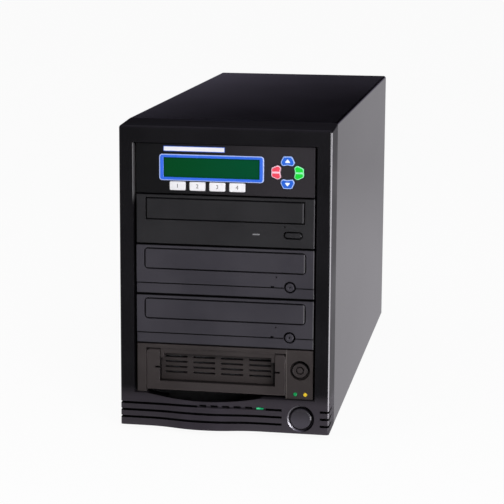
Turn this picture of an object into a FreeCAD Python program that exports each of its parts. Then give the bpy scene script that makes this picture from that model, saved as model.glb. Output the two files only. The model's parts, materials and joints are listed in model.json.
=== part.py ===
import FreeCAD, Part
import math
import operator
import os
import Sketcher

# Tower disc duplicator with five 5.25-inch bays: a control panel, a reader, two writers
# and a removable hard-disk rack, in a steel case with a moulded plastic front.
# Millimetres, +X right, +Y back, +Z up. The origin is under the middle of the whole part,
# on the surface that its feet stand on.

DIMENSIONS = (
    ("case_width", 176.0, "across the steel cover"),
    ("case_height", 255.0, "from the underside of the floor to the top of the cover"),
    ("cover_length", 416.0, "from the bezel to the back of the rear lip"),
    ("steel_gauge", 1.0, "sheet steel of the case"),
    ("edge_round", 2.5, "bend of the cover and long edges of the bezel"),
    ("front_round", 2.2, "front edges of the bezel"),
    ("lip_width", 12.0, "rear lip of the cover that lies over the rear panel"),
    ("flange_height", 14.0, "upturned sides of the floor"),
    ("foot_height", 5.0, "rubber foot"),
    ("foot_radius", 9.0, "rubber foot"),
    ("foot_inset", 20.0, "foot centre from the side of the case"),
    ("foot_setback", 48.0, "foot centre from the front or the back of the case"),
    ("screw_head", 2.0, "height of a hexagon head"),
    ("screw_head_radius", 3.4, "hexagon head, across its corners"),
    ("screw_radius", 1.6, "screw shank"),
    ("screw_play", 0.2, "room round a screw shank"),
    ("screw_length", 4.0, "screw shank"),
    ("cover_screw_low", 30.0, "lowest cover screw above the floor"),
    ("cover_screw_pitch", 95.0, "cover screws, up the rear lip"),
    ("bezel_depth", 34.0, "front bezel, front plane to the cover"),
    ("bezel_wall", 3.0, "moulded wall of the bezel"),
    ("bezel_drop", 2.0, "fall of the bezel's top towards the front"),
    ("window_width", 152.0, "bay window in the bezel"),
    ("chin_height", 28.2, "bezel below the bay window"),
    ("brow_height", 15.8, "bezel above the bay window"),
    ("rim_depth", 8.0, "collar behind the bay window"),
    ("bow_depth", 6.0, "how far the chin bows forward at its foot"),
    ("bow_crown", 0.8, "how far the chin still bows at its top"),
    ("bow_height", 25.0, "height over which the bow fades"),
    ("bow_width", 96.0, "the bow from side to side"),
    ("bow_centre", -17.0, "middle of the bow and of the scoop"),
    ("groove_low", 7.0, "lowest chin groove above the foot of the bezel"),
    ("groove_pitch", 6.1, "chin grooves"),
    ("groove_height", 1.7, "width of a groove"),
    ("groove_depth", 2.2, "depth of a groove"),
    ("groove_gap", 15.9, "ends of the grooves from the middle of the power button"),
    ("groove_reach", 18.0, "how far the grooves run back along the sides"),
    ("scoop_width", 96.0, "finger scoop under the window"),
    ("scoop_depth", 5.2, "finger scoop, downwards"),
    ("clip_width", 12.0, "snap clip of the bezel"),
    ("clip_thick", 2.0, "snap clip"),
    ("clip_hook", 1.0, "nose of a snap clip"),
    ("clip_length", 8.0, "snap clip inside the bezel"),
    ("clip_low", 45.0, "lowest snap clip above the floor"),
    ("clip_pitch", 80.0, "snap clips, up the sides"),
    ("clip_play", 0.3, "room round a snap clip"),
    ("power_inset", 23.4, "power button from the right side of the case"),
    ("power_rise", 12.8, "power button above the foot of the bezel"),
    ("power_radius", 9.2, "power button"),
    ("power_proud", 0.8, "power button in front of the bezel"),
    ("power_play", 0.3, "room round the power button"),
    ("power_length", 11.0, "cap of the power button behind the front plane"),
    ("power_travel", 3.0, "stroke of the power button"),
    ("power_stem", 3.0, "radius of the button's stem"),
    ("power_ring", 11.3, "dished ring round the power button"),
    ("power_ring_depth", 2.0, "dished ring"),
    ("guide_length", 18.0, "guide tube of the power button behind the bezel wall"),
    ("guide_wall", 1.6, "guide tube"),
    ("switch_plate", 2.0, "mounting plate of the power switch"),
    ("switch_size", 13.0, "body of the power switch"),
    ("lamp_first", -17.6, "first status window"),
    ("lamp_pitch", 9.6, "status windows"),
    ("lamp_width", 6.2, "status window"),
    ("lamp_height", 1.9, "status window"),
    ("lamp_rise", 0.5, "status windows above the middle of the top groove"),
    ("face_width", 148.0, "front of a bay device"),
    ("face_gap", 0.8, "between the fronts of two devices"),
    ("face_thick", 5.0, "moulded front of a drive"),
    ("face_recess", 2.0, "device fronts behind the bezel's front plane"),
    ("face_bevel", 0.5, "front edges of the device fronts"),
    ("drive_width", 146.0, "5.25-inch device body"),
    ("drive_gap", 1.4, "between two device bodies"),
    ("drive_length", 168.0, "casing of an optical drive"),
    ("drive_gauge", 0.8, "sheet steel of the drive casing"),
    ("cage_length", 150.0, "drive cage"),
    ("mount_hole_front", 47.4, "first side screw behind the device front"),
    ("mount_hole_pitch", 79.4, "side screws"),
    ("mount_hole_rise", 10.0, "side screws above the underside of the device"),
    ("door_gap", 0.6, "gap round a tray door"),
    ("reader_door_width", 131.2, "tray door of the reader"),
    ("reader_door_height", 17.5, "tray door of the reader"),
    ("reader_door_drop", 3.3, "tray door of the reader below the top of its front"),
    ("reader_button_width", 15.4, "eject button of the reader"),
    ("reader_button_height", 5.8, "eject button of the reader"),
    ("reader_button_round", 2.84, "round ends of the reader's eject button"),
    ("reader_button_across", 56.5, "eject button of the reader"),
    ("reader_button_rise", 10.7, "eject button of the reader"),
    ("reader_pin_across", 49.7, "emergency pinhole of the reader"),
    ("reader_pin_drop", 3.0, "emergency pinhole of the reader below its door"),
    ("reader_lamp_across", 26.1, "lamp of the reader"),
    ("writer_door_width", 134.0, "tray door of a writer"),
    ("writer_door_height", 16.9, "tray door of a writer"),
    ("writer_door_drop", 3.2, "tray door of a writer below the top of its front"),
    ("writer_door_corner", 3.0, "rounded corners of a writer's door"),
    ("writer_step_rise", 9.0, "step line across a writer's front"),
    ("writer_step_depth", 0.9, "step line across a writer's front"),
    ("writer_button_radius", 4.7, "eject button of a writer"),
    ("writer_button_across", 54.3, "eject button of a writer"),
    ("writer_button_rise", 9.7, "eject button of a writer"),
    ("writer_pin_across", 43.0, "emergency pinhole of a writer"),
    ("writer_pin_drop", 3.3, "emergency pinhole of a writer below its door"),
    ("writer_lamp_across", 39.7, "lamp of a writer"),
    ("drive_lamp_width", 3.0, "drive lamp"),
    ("drive_lamp_height", 1.6, "drive lamp"),
    ("pin_radius", 0.7, "emergency pinhole"),
    ("eject_play", 0.3, "room round an eject button"),
    ("eject_proud", 0.6, "eject button in front of its drive"),
    ("eject_flange", 1.0, "flange that holds an eject button in"),
    ("tray_rise", 3.5, "disc tray above the foot of its door"),
    ("tray_width", 128.4, "disc tray"),
    ("tray_length", 158.0, "disc tray"),
    ("tray_thick", 6.0, "disc tray"),
    ("tray_play", 0.2, "tray above its rails"),
    ("disc_setback", 66.0, "middle of the disc behind the drive's front"),
    ("disc_well", 60.6, "radius of the well for a 120 mm disc"),
    ("disc_well_depth", 2.6, "well for a 120 mm disc"),
    ("small_well", 40.6, "radius of the well for an 80 mm disc"),
    ("small_well_depth", 4.0, "well for an 80 mm disc"),
    ("slot_half_width", 18.0, "opening in the tray over the spindle and pickup"),
    ("slot_front", 19.0, "that opening in front of the disc's middle"),
    ("slot_back", 62.0, "that opening behind the disc's middle"),
    ("loader_front", 7.0, "loader frame behind the drive's front"),
    ("loader_length", 156.0, "loader frame"),
    ("loader_room", 2.6, "loader frame from the sides of the casing"),
    ("loader_thick", 3.0, "floor of the loader frame"),
    ("rail_lap", 3.0, "tray on its rails"),
    ("boss_radius", 11.0, "spindle motor"),
    ("boss_height", 5.0, "spindle motor"),
    ("running_fit", 0.05, "radial clearance of a shaft"),
    ("table_gap", 0.2, "turntable above its motor"),
    ("table_radius", 14.5, "turntable"),
    ("table_thick", 2.0, "turntable"),
    ("nose_radius", 7.3, "centring nose of the turntable"),
    ("nose_height", 2.2, "centring nose"),
    ("rod_radius", 1.5, "guide rods of the pickup"),
    ("rod_across", 24.0, "guide rods from the middle"),
    ("rod_rise", 6.5, "guide rods above the loader floor"),
    ("rod_front", 10.0, "front rod holder behind the disc's middle"),
    ("rod_length", 76.0, "guide rods"),
    ("holder_size", 5.0, "rod holder"),
    ("pickup_width", 58.0, "pickup sled"),
    ("pickup_length", 24.0, "pickup sled"),
    ("pickup_height", 7.0, "pickup sled"),
    ("pickup_front", 17.0, "pickup sled behind the disc's middle"),
    ("lens_radius", 3.2, "pickup lens"),
    ("lens_height", 1.4, "pickup lens"),
    ("rack_left", -66.1, "left side of the carrier opening"),
    ("rack_right", 51.6, "right side of the carrier opening"),
    ("rack_brow", 3.2, "rack front above the carrier opening"),
    ("rack_fascia", 12.0, "depth of the rack's front"),
    ("rack_wall", 2.0, "walls of the rack frame"),
    ("carrier_play", 0.35, "room round the carrier"),
    ("carrier_wall", 2.0, "walls of the carrier"),
    ("carrier_length", 168.0, "carrier behind the front plane of the rack"),
    ("vent_plate", 3.0, "slotted plate behind the handle"),
    ("vent_first", -51.8, "left end of the first vent slot"),
    ("vent_width", 18.6, "vent slot"),
    ("vent_pitch", 23.65, "vent slots across"),
    ("vent_low", 15.7, "lowest row of vent slots above the foot of the front"),
    ("vent_rows", 4.5, "rows of vent slots"),
    ("vent_height", 1.7, "vent slot"),
    ("handle_thick", 8.0, "carrier handle, front to back"),
    ("handle_low", 2.6, "carrier handle above the foot of the front"),
    ("handle_bar", 7.3, "grip bar of the handle"),
    ("handle_left", -54.8, "inside of the left arm"),
    ("handle_right", 42.4, "inside of the right arm"),
    ("handle_chamfer", 2.5, "cut upper corners of the handle"),
    ("handle_notch", 4.0, "notches in the arms"),
    ("handle_notch_height", 1.6, "notches in the arms"),
    ("handle_gap", 1.5, "room behind the handle"),
    ("lug_thick", 3.0, "pivot lugs of the carrier"),
    ("trunnion_radius", 1.5, "handle pivots"),
    ("trunnion_length", 6.0, "handle pivots"),
    ("lock_across", 63.3, "key lock"),
    ("lock_rise", 24.6, "key lock above the foot of the front"),
    ("lock_radius", 6.6, "key lock barrel"),
    ("lock_ring", 8.3, "recess round the key lock"),
    ("lock_ring_depth", 4.5, "recess round the key lock"),
    ("lock_length", 20.0, "key lock barrel"),
    ("key_ring", 3.4, "outer radius of the ring slot for the key"),
    ("key_core", 2.4, "core inside the ring slot"),
    ("key_depth", 4.0, "ring slot for the key"),
    ("lock_cam_reach", 6.5, "locking cam from the middle of the barrel"),
    ("lock_cam_width", 5.0, "locking cam"),
    ("lock_cam_thick", 2.0, "locking cam"),
    ("rack_lamp_across", 59.6, "left lamp of the rack"),
    ("rack_lamp_pitch", 8.3, "lamps of the rack"),
    ("rack_lamp_rise", 4.4, "lamps of the rack above the foot of the front"),
    ("rack_lamp_radius", 1.5, "lamps of the rack"),
    ("rack_lamp_proud", 0.5, "lamps of the rack in front of the front"),
    ("disk_width", 101.6, "3.5-inch hard disk"),
    ("disk_height", 26.1, "3.5-inch hard disk"),
    ("disk_length", 147.0, "3.5-inch hard disk"),
    ("disk_gap", 4.0, "hard disk behind the slotted plate"),
    ("disk_lid", 2.0, "lid of the hard disk"),
    ("disk_lid_inset", 3.0, "lid of the hard disk"),
    ("panel_thick", 3.0, "face of the control panel"),
    ("lcd_left", -51.0, "left side of the display"),
    ("lcd_width", 79.8, "display"),
    ("lcd_low", 13.5, "display above the foot of the panel"),
    ("lcd_height", 16.6, "display"),
    ("lcd_recess", 0.6, "display glass behind the panel's face"),
    ("lcd_margin", 2.0, "display module round the glass"),
    ("surround_side", 3.5, "display surround, left and right"),
    ("surround_edge", 2.6, "display surround, above and below"),
    ("surround_thick", 0.8, "display surround in front of the panel"),
    ("surround_corner", 1.5, "corners of the display surround"),
    ("key_width", 13.3, "function key"),
    ("key_height", 7.3, "function key"),
    ("key_first", -45.8, "left side of the first function key"),
    ("key_pitch", 16.5, "function keys"),
    ("key_low", 2.9, "function keys above the foot of the panel"),
    ("key_corner", 1.0, "corners of the function keys"),
    ("key_proud", 1.0, "keys in front of the panel"),
    ("key_edge", 0.4, "front edges of the keys"),
    ("key_play", 0.25, "room round a key"),
    ("key_travel", 0.8, "stroke of a key"),
    ("key_flange", 0.5, "flange that holds a key in"),
    ("key_flange_thick", 1.0, "flange that holds a key in"),
    ("key_gap", 0.2, "flange behind the panel"),
    ("nav_across", 51.6, "middle of the arrow keys"),
    ("nav_rise", 20.1, "middle of the arrow keys above the foot of the panel"),
    ("nav_outer", 13.3, "outer edge of an arrow key from the middle"),
    ("nav_inner", 5.2, "inner edge of an arrow key from the middle"),
    ("nav_knee", 8.4, "widest part of an arrow key from the middle"),
    ("nav_narrow", 3.4, "half width of an arrow key at its outer edge"),
    ("nav_wide", 6.0, "half width of an arrow key at its widest"),
    ("nav_foot", 3.9, "half width of an arrow key at its inner edge"),
    ("nav_dip", 0.6, "hollow in the inner edge"),
    ("board_gap", 6.5, "control board behind the panel"),
    ("board_thick", 1.6, "control board"),
    ("board_width", 140.0, "control board"),
    ("board_inset", 2.2, "control board from the foot and the top of the panel"),
    ("switch_pad", 5.0, "key switch on the control board"),
    ("chip_size", 16.0, "controller chip"),
    ("chip_thick", 1.5, "controller chip"),
    ("chip_drop", 12.3, "controller chips below the top of the board"),
    ("chip_pitch", 32.0, "controller chips"),
    ("post_size", 5.0, "posts that carry the control board"),
    ("post_inset", 4.0, "posts from the edges of the control board"),
    ("bracket_length", 140.0, "panel bracket"),
    ("bracket_drop", 2.8, "panel bracket below the top of its bay"),
    ("psu_room", 13.0, "power supply from the sides of the case"),
    ("psu_height", 86.0, "power supply"),
    ("psu_length", 140.0, "power supply"),
    ("psu_lap", 10.0, "rear panel over the edges of the power supply"),
    ("psu_hole_inset", 6.0, "power supply screws from its corners"),
    ("psu_fan_inset", 49.0, "fan from the left side of the power supply"),
    ("fan_size", 80.0, "square fan frame"),
    ("fan_depth", 25.0, "fan frame"),
    ("fan_duct", 38.0, "radius of the fan's duct"),
    ("fan_hole_pitch", 71.5, "fan screws"),
    ("fan_tip", 36.8, "radius of the fan blades"),
    ("fan_hub", 17.0, "radius of the fan hub"),
    ("hub_length", 15.0, "fan hub"),
    ("hub_gap", 0.2, "fan hub in front of its bearing"),
    ("blade_thick", 1.6, "fan blade"),
    ("blade_chord", 21.0, "fan blade"),
    ("blade_pitch", 36.0, "angle of the fan blades"),
    ("spider_width", 5.0, "struts of the fan frame"),
    ("spider_thick", 3.0, "struts of the fan frame"),
    ("case_fan_rise", 60.0, "middle of the case fan above the power supply"),
    ("grille_radius", 36.0, "slotted grille over a fan"),
    ("grille_slot", 3.2, "slot of a grille"),
    ("grille_pitch", 6.4, "slots of a grille"),
    ("bearing_plate", 18.0, "solid middle of a grille"),
    ("rear_vent_width", 4.0, "vents high on the rear panel"),
    ("rear_vent_height", 24.0, "vents high on the rear panel"),
    ("rear_vent_pitch", 16.0, "vents high on the rear panel"),
    ("rear_vent_rise", 64.0, "vents above the middle of the case fan"),
    ("inlet_inset", 29.0, "mains inlet from the right side of the power supply"),
    ("inlet_width", 30.0, "flange of the inlet"),
    ("inlet_height", 54.0, "flange of the inlet"),
    ("inlet_rim", 2.0, "flange outside its body"),
    ("inlet_flange", 1.5, "thickness of the flange"),
    ("inlet_depth", 22.0, "body of the inlet"),
    ("inlet_play", 0.2, "room round the body of the inlet"),
    ("socket_width", 22.0, "hollow of the three-pin inlet"),
    ("socket_height", 16.0, "hollow of the three-pin inlet"),
    ("socket_depth", 16.0, "hollow of the three-pin inlet"),
    ("socket_chamfer", 5.0, "cut lower corners of the hollow"),
    ("socket_drop", 12.0, "hollow below the middle of the inlet"),
    ("contact_width", 2.0, "inlet contact"),
    ("contact_height", 4.0, "inlet contact"),
    ("contact_length", 12.0, "inlet contact"),
    ("contact_pitch", 7.0, "inlet contacts"),
    ("contact_step", 2.0, "middle contact above the others"),
    ("rocker_rise", 13.0, "rocker above the middle of the inlet"),
    ("rocker_width", 14.0, "rocker"),
    ("rocker_radius", 9.5, "rocker about its pivot"),
    ("rocker_sink", 6.5, "rocker pivot inside the face"),
    ("rocker_play", 0.4, "room round the rocker"),
    ("rocker_tilt", 10.0, "rocker either side of the middle"),
    ("rocker_proud", 0.5, "ends of the rocker in front of the face when level"),
    ("rocker_dish", 1.5, "hollow across the front of the rocker"),
    ("rocker_pin", 3.0, "pivots of the rocker"),
    ("lead_bend", 9.0, "bends of the internal leads"),
    ("power_lead_across", 50.0, "power lead to the left of the middle"),
    ("power_lead_width", 10.0, "power lead"),
    ("power_lead_thick", 2.4, "power lead"),
    ("power_lead_rise", 14.0, "power lead above the floor"),
    ("ribbon_across", 18.0, "data ribbon to the right of the middle"),
    ("ribbon_width", 46.0, "data ribbon"),
    ("ribbon_thick", 1.1, "data ribbon"),
    ("plug_rim", 4.0, "plug either side of its lead"),
    ("plug_height", 6.0, "lead plug"),
    ("plug_depth", 10.0, "lead plug"),
    ("plug_rise", 14.0, "lead plugs above the underside of a device"),
)

BAYS = 5
RACK_BAY, WRITER_2_BAY, WRITER_1_BAY, READER_BAY, PANEL_BAY = range(BAYS)
CLIPS = 3
GROOVES = 3
LAMPS = 6
KEYS = 4
BLADES = 7
COVER_SCREWS = 3
SCREW_HEAD_SIDES = 6
SCREW_SIDES = 6
ROD_SIDES = 8
DISC_SIDES = 16
WELL_SIDES = 32
REAR_VENTS = 7
NEAR = 1e-4
PAST = 1.0  # how far a cut runs past the face that it opens

OPERATIONS = {"+": operator.add, "-": operator.sub, "*": operator.mul, "/": operator.truediv}


class Size:
    """A number together with the spreadsheet expression that gives it."""

    def __init__(self, value, text):
        self.value = value
        self.text = text

    def __float__(self):
        return self.value

    def __add__(self, other):
        return combine(self, "+", other)

    def __radd__(self, other):
        return combine(other, "+", self)

    def __sub__(self, other):
        return combine(self, "-", other)

    def __rsub__(self, other):
        return combine(other, "-", self)

    def __mul__(self, other):
        return combine(self, "*", other)

    def __rmul__(self, other):
        return combine(other, "*", self)

    def __truediv__(self, other):
        return combine(self, "/", other)

    def __neg__(self):
        return combine(0, "-", self)


def as_size(value):
    return value if isinstance(value, Size) else Size(float(value), f"({float(value)})")


def combine(first, sign, second):
    first, second = as_size(first), as_size(second)
    return Size(OPERATIONS[sign](first.value, second.value), f"({first.text} {sign} {second.text})")


def root(value):
    return Size(math.sqrt(value.value), f"sqrt({value.text})")


def cosine(angle):
    return Size(math.cos(math.radians(angle.value)), f"cos({angle.text} * 1 deg)")


def sine(angle):
    return Size(math.sin(math.radians(angle.value)), f"sin({angle.text} * 1 deg)")


class Dimensions:
    """The spreadsheet's cells as sizes: one attribute for each alias."""

    def __init__(self, document):
        sheet = document.addObject("Spreadsheet::Sheet", "dims")
        for row, (alias, value, note) in enumerate(DIMENSIONS, 1):
            sheet.set(f"A{row}", alias)
            sheet.set(f"B{row}", str(value))
            sheet.set(f"C{row}", note)
            sheet.setAlias(f"B{row}", alias)
            setattr(self, alias, Size(value, f"dims.{alias}"))


doc = FreeCAD.newDocument("disc_duplicator")
d = Dimensions(doc)
doc.recompute()

subparts = []

# Planes that many pieces share
half = d.case_width / 2
total_depth = d.bow_depth + d.bezel_depth + d.cover_length + d.screw_head
front = d.bow_depth - total_depth / 2
cover_front = front + d.bezel_depth
rear_face = cover_front + d.cover_length - d.steel_gauge
base = d.foot_height
floor_top = base + d.steel_gauge
top = base + d.case_height
face_front = front + d.face_recess
face_back = face_front + d.face_thick
panel_back = face_front + d.panel_thick
device_rear = face_back + d.drive_length
psu_rear = rear_face - d.steel_gauge
bay_pitch = (d.case_height - d.chin_height - d.brow_height) / BAYS
face_height = bay_pitch - d.face_gap
drive_height = bay_pitch - d.drive_gap
power_x = half - d.power_inset
psu_half = half - d.psu_room
psu_middle = floor_top + d.psu_height / 2
psu_fan_x = d.psu_fan_inset - psu_half
inlet_x = psu_half - d.inlet_inset
case_fan_z = floor_top + d.psu_height + d.case_fan_rise


def bay_floor(bay):
    return base + d.chin_height + bay * bay_pitch


def face_low(bay):
    return bay_floor(bay) + d.face_gap / 2


def device_low(bay):
    return bay_floor(bay) + d.drive_gap / 2


def around(middle, length):
    return middle - length / 2, middle + length / 2


def run(start, length):
    return start, start + length


def beyond(low, high):
    """Span of a cut that opens both faces."""
    return low - PAST, high + PAST


# Ways of making solids

def bind(item, name, size):
    item.setExpression(name, as_size(size).text)


def place(item, x, y, z):
    for axis, size in zip("xyz", (x, y, z)):
        bind(item, f"Placement.Base.{axis}", size)


def block(x, y, z):
    solid = doc.addObject("Part::Box", "block")
    for name, (low, high) in zip(("Length", "Width", "Height"), (x, y, z)):
        bind(solid, name, high - low)
    place(solid, x[0], y[0], z[0])
    return solid


TURNS = {
    "X": FreeCAD.Rotation(FreeCAD.Vector(0, 1, 0), 90),
    "Y": FreeCAD.Rotation(FreeCAD.Vector(1, 0, 0), -90),
    "Z": FreeCAD.Rotation(),
}


def turn_to(item, axis, at):
    item.Placement = FreeCAD.Placement(FreeCAD.Vector(), TURNS[axis])
    place(item, *at)


def rod(axis, radius, at, length):
    solid = doc.addObject("Part::Cylinder", "rod")
    bind(solid, "Radius", radius)
    bind(solid, "Height", length)
    turn_to(solid, axis, at)
    return solid


def peg(sides, axis, radius, at, length):
    """Many-sided rod, for small round pieces that repeat or stay out of sight."""
    solid = doc.addObject("Part::Prism", "peg")
    solid.Polygon = sides
    bind(solid, "Circumradius", radius)
    bind(solid, "Height", length)
    turn_to(solid, axis, at)
    return solid


def cone(axis, radius, end_radius, at, length):
    solid = doc.addObject("Part::Cone", "cone")
    bind(solid, "Radius1", radius)
    bind(solid, "Radius2", end_radius)
    bind(solid, "Height", length)
    turn_to(solid, axis, at)
    return solid


def sketch_on(body, role, outline, offset):
    """Closed outline of straight lines whose corners are bound to the spreadsheet."""
    sketch = body.newObject("Sketcher::SketchObject", "outline")
    plane = next(item for item in body.Origin.OriginFeatures if item.Role == role)
    sketch.AttachmentSupport = (plane, [""])
    sketch.MapMode = "FlatFace"
    bind(sketch, "AttachmentOffset.Base.z", offset)
    corners = [FreeCAD.Vector(float(u), float(v), 0) for u, v in outline]
    count = len(corners)
    for k, corner in enumerate(corners):
        sketch.addGeometry(Part.LineSegment(corner, corners[(k + 1) % count]))
    for k in range(count):
        sketch.addConstraint(Sketcher.Constraint("Coincident", k, 2, (k + 1) % count, 1))
    for k, corner in enumerate(outline):
        for kind, size in zip(("DistanceX", "DistanceY"), corner):
            index = sketch.addConstraint(Sketcher.Constraint(kind, k, 1, float(size)))
            bind(sketch, f"Constraints[{index}]", size)
    return sketch


def prism(plane, outline, start, length):
    """Outline in the XY, XZ or YZ plane, padded along the third axis from start."""
    body = doc.addObject("PartDesign::Body", "body")
    backwards = plane == "XZ"
    sketch = sketch_on(body, f"{plane}_Plane", outline, -start if backwards else start)
    pad = body.newObject("PartDesign::Pad", "pad")
    pad.Profile = sketch
    pad.Reversed = backwards
    bind(pad, "Length", length)
    return body


def solid_of(shape):
    item = doc.addObject("Part::Feature", "form")
    item.Shape = shape
    return item


def fuse(*solids):
    item = doc.addObject("Part::MultiFuse", "fuse")
    item.Shapes = list(solids)
    item.Refine = True
    return item


def cut(solid, *tools):
    item = doc.addObject("Part::Cut", "cut")
    item.Base = solid
    item.Tool = tools[0] if len(tools) == 1 else fuse(*tools)
    item.Refine = True
    return item


def common(first, second):
    item = doc.addObject("Part::Common", "common")
    item.Base = first
    item.Tool = second
    item.Refine = True
    return item


def group(solids):
    item = doc.addObject("Part::Compound", "group")
    item.Links = list(solids)
    return item


def rounded(solid, radius, chosen):
    doc.recompute()
    item = doc.addObject("Part::Fillet", "rounding")
    item.Base = solid
    size = float(radius)
    edges = enumerate(solid.Shape.Edges, 1)
    item.Edges = [(index, size, size) for index, edge in edges if chosen(edge)]
    return item


def bevelled(solid, size, chosen):
    doc.recompute()
    item = doc.addObject("Part::Chamfer", "bevel")
    item.Base = solid
    size = float(size)
    edges = enumerate(solid.Shape.Edges, 1)
    item.Edges = [(index, size, size) for index, edge in edges if chosen(edge)]
    return item


def lies_at(axis, *levels):
    """Test for an edge that lies at one of the levels of an axis."""
    def chosen(edge):
        spots = [getattr(vertex, axis) for vertex in edge.Vertexes]
        return any(all(abs(spot - float(level)) < NEAR for spot in spots) for level in levels)
    return chosen


def runs_along(axis):
    """Test for a straight edge along an axis."""
    others = [other for other in "XYZ" if other != axis]

    def chosen(edge):
        ends = [edge.Vertexes[0], edge.Vertexes[-1]]
        straight = all(abs(getattr(ends[0], other) - getattr(ends[1], other)) < NEAR for other in others)
        return straight and edge.Length > NEAR
    return chosen


def subpart(label, item):
    item.Label = label
    subparts.append(item)


# Case

def screw(axis, sense, at):
    """Hexagon-head screw whose head sits on the face at the given point, out along the axis."""
    x, y, z = at
    lift = d.screw_head if sense > 0 else -d.screw_head
    reach = -d.screw_length if sense > 0 else d.screw_length
    starts = {
        "X": ((x + min_of(lift), y, z), (x + min_of(reach), y, z)),
        "Y": ((x, y + min_of(lift), z), (x, y + min_of(reach), z)),
    }
    head_at, shank_at = starts[axis]
    head = peg(SCREW_HEAD_SIDES, axis, d.screw_head_radius, head_at, d.screw_head)
    return fuse(head, peg(SCREW_SIDES, axis, d.screw_radius, shank_at, d.screw_length))


def min_of(shift):
    return shift if float(shift) < 0 else 0


def screw_hole(axis, at, length):
    return peg(SCREW_SIDES, axis, d.screw_radius + d.screw_play, at, length)


def sheet_hole(x, y, z):
    """Hole through a rear sheet whose inner face is at y."""
    return screw_hole("Y", (x, y - PAST, z), d.steel_gauge + 2 * PAST)


def blind_hole(x, z):
    """Hole that takes a screw driven in from the rear panel."""
    return screw_hole("Y", (x, psu_rear - d.screw_length, z), d.screw_length + PAST)


def cover_screw_spots():
    for side in (-1, 1):
        for k in range(COVER_SCREWS):
            rise = d.cover_screw_low + k * d.cover_screw_pitch
            yield side * (half - d.lip_width / 2), floor_top + rise


def psu_screw_spots():
    for across in (-1, 1):
        for up in (-1, 1):
            yield (across * (psu_half - d.psu_hole_inset),
                   psu_middle + up * (d.psu_height / 2 - d.psu_hole_inset))


def fan_screw_spots():
    for across in (-1, 1):
        for up in (-1, 1):
            yield across * d.fan_hole_pitch / 2, case_fan_z + up * d.fan_hole_pitch / 2


def arch(outer, inner, low, high, thick):
    """Upside-down U in the XZ plane."""
    return ((-outer, low), (-outer, high), (outer, high), (outer, low),
            (inner, low), (inner, high - thick), (-inner, high - thick), (-inner, low))


def wrap_cover():
    sheet = arch(half, half - d.steel_gauge, base, top, d.steel_gauge)
    lip = arch(half, half - d.lip_width, base, top, d.lip_width)
    shell = fuse(prism("XZ", sheet, cover_front, d.cover_length),
                 prism("XZ", lip, rear_face, d.steel_gauge))
    outside = runs_along("Y")
    at_top = lies_at("Z", top)
    shell = rounded(shell, d.edge_round, lambda edge: outside(edge) and at_top(edge))
    under_top = lies_at("Z", top - d.steel_gauge)
    at_side = lies_at("X", half - d.steel_gauge, d.steel_gauge - half)
    shell = rounded(shell, d.edge_round - d.steel_gauge,
                    lambda edge: outside(edge) and under_top(edge) and at_side(edge))
    holes = [sheet_hole(x, rear_face, z) for x, z in cover_screw_spots()]
    subpart("wrap_cover", cut(shell, *holes))


def grille(across, middle, low, thick):
    """Level slots whose ends follow a circle, with a solid middle for the fan's bearing."""
    rows = int(float(d.grille_radius) / float(d.grille_pitch))
    slots = []
    for row in range(-rows, rows + 1):
        rise = row * d.grille_pitch
        reach = root(d.grille_radius * d.grille_radius - rise * rise)
        height = around(middle + rise, d.grille_slot)
        slots.append(block(around(across, 2 * reach), beyond(low, low + thick), height))
    bearing = block(around(across, d.bearing_plate), beyond(*beyond(low, low + thick)),
                    around(middle, d.bearing_plate))
    return cut(fuse(*slots), bearing)


def chassis():
    inside = half - d.steel_gauge
    floor = block((-inside, inside), (cover_front, rear_face), (base, floor_top))
    sides = [block(run(x, d.steel_gauge), (cover_front, rear_face), run(floor_top, d.flange_height))
             for x in (-inside, inside - d.steel_gauge)]
    height = (floor_top, top - d.steel_gauge)
    corner = lies_at("Z", top - d.steel_gauge)
    bend = d.edge_round - d.steel_gauge
    level = runs_along("Y")
    panels = [rounded(block((-inside, inside), run(y, d.steel_gauge), height), bend,
                      lambda edge: level(edge) and corner(edge))
              for y in (cover_front, rear_face - d.steel_gauge)]
    front_sheet = beyond(cover_front, cover_front + d.steel_gauge)
    rear_sheet = beyond(psu_rear, rear_face)
    opening = block(around(0, d.drive_width + 2 * d.screw_play), front_sheet, (bay_floor(0), bay_floor(BAYS)))
    psu_window = block(around(0, 2 * (psu_half - d.psu_lap)), rear_sheet,
                       around(psu_middle, d.psu_height - 2 * d.psu_lap))
    holes = [sheet_hole(x, psu_rear, z)
             for spots in (cover_screw_spots(), psu_screw_spots(), fan_screw_spots()) for x, z in spots]
    vents = [block(around((k - (REAR_VENTS - 1) / 2) * d.rear_vent_pitch, d.rear_vent_width), rear_sheet,
                   around(case_fan_z + d.rear_vent_rise, d.rear_vent_height))
             for k in range(REAR_VENTS)]
    slots = [clip_slot(side, k) for side in (-1, 1) for k in range(CLIPS)]
    fan_grille = grille(0, case_fan_z, psu_rear, d.steel_gauge)
    subpart("chassis", cut(fuse(floor, *sides, *panels), opening, psu_window, fan_grille,
                           *holes, *vents, *slots))


def rubber_feet():
    spots = [(x, y) for x in (d.foot_inset - half, half - d.foot_inset)
             for y in (cover_front + d.foot_setback, rear_face - d.foot_setback)]
    feet = [peg(DISC_SIDES, "Z", d.foot_radius, (x, y, 0), d.foot_height) for x, y in spots]
    subpart("rubber_feet", group(feet))


def case_screws():
    cover = [screw("Y", 1, (x, rear_face + d.steel_gauge, z)) for x, z in cover_screw_spots()]
    inner = [screw("Y", 1, (x, rear_face, z))
             for spots in (psu_screw_spots(), fan_screw_spots()) for x, z in spots]
    subpart("case_screws", group(cover + inner))


def device_screw_spots():
    for bay in range(BAYS):
        for k in range(2):
            yield (face_back + d.mount_hole_front + k * d.mount_hole_pitch,
                   device_low(bay) + d.mount_hole_rise)


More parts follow.
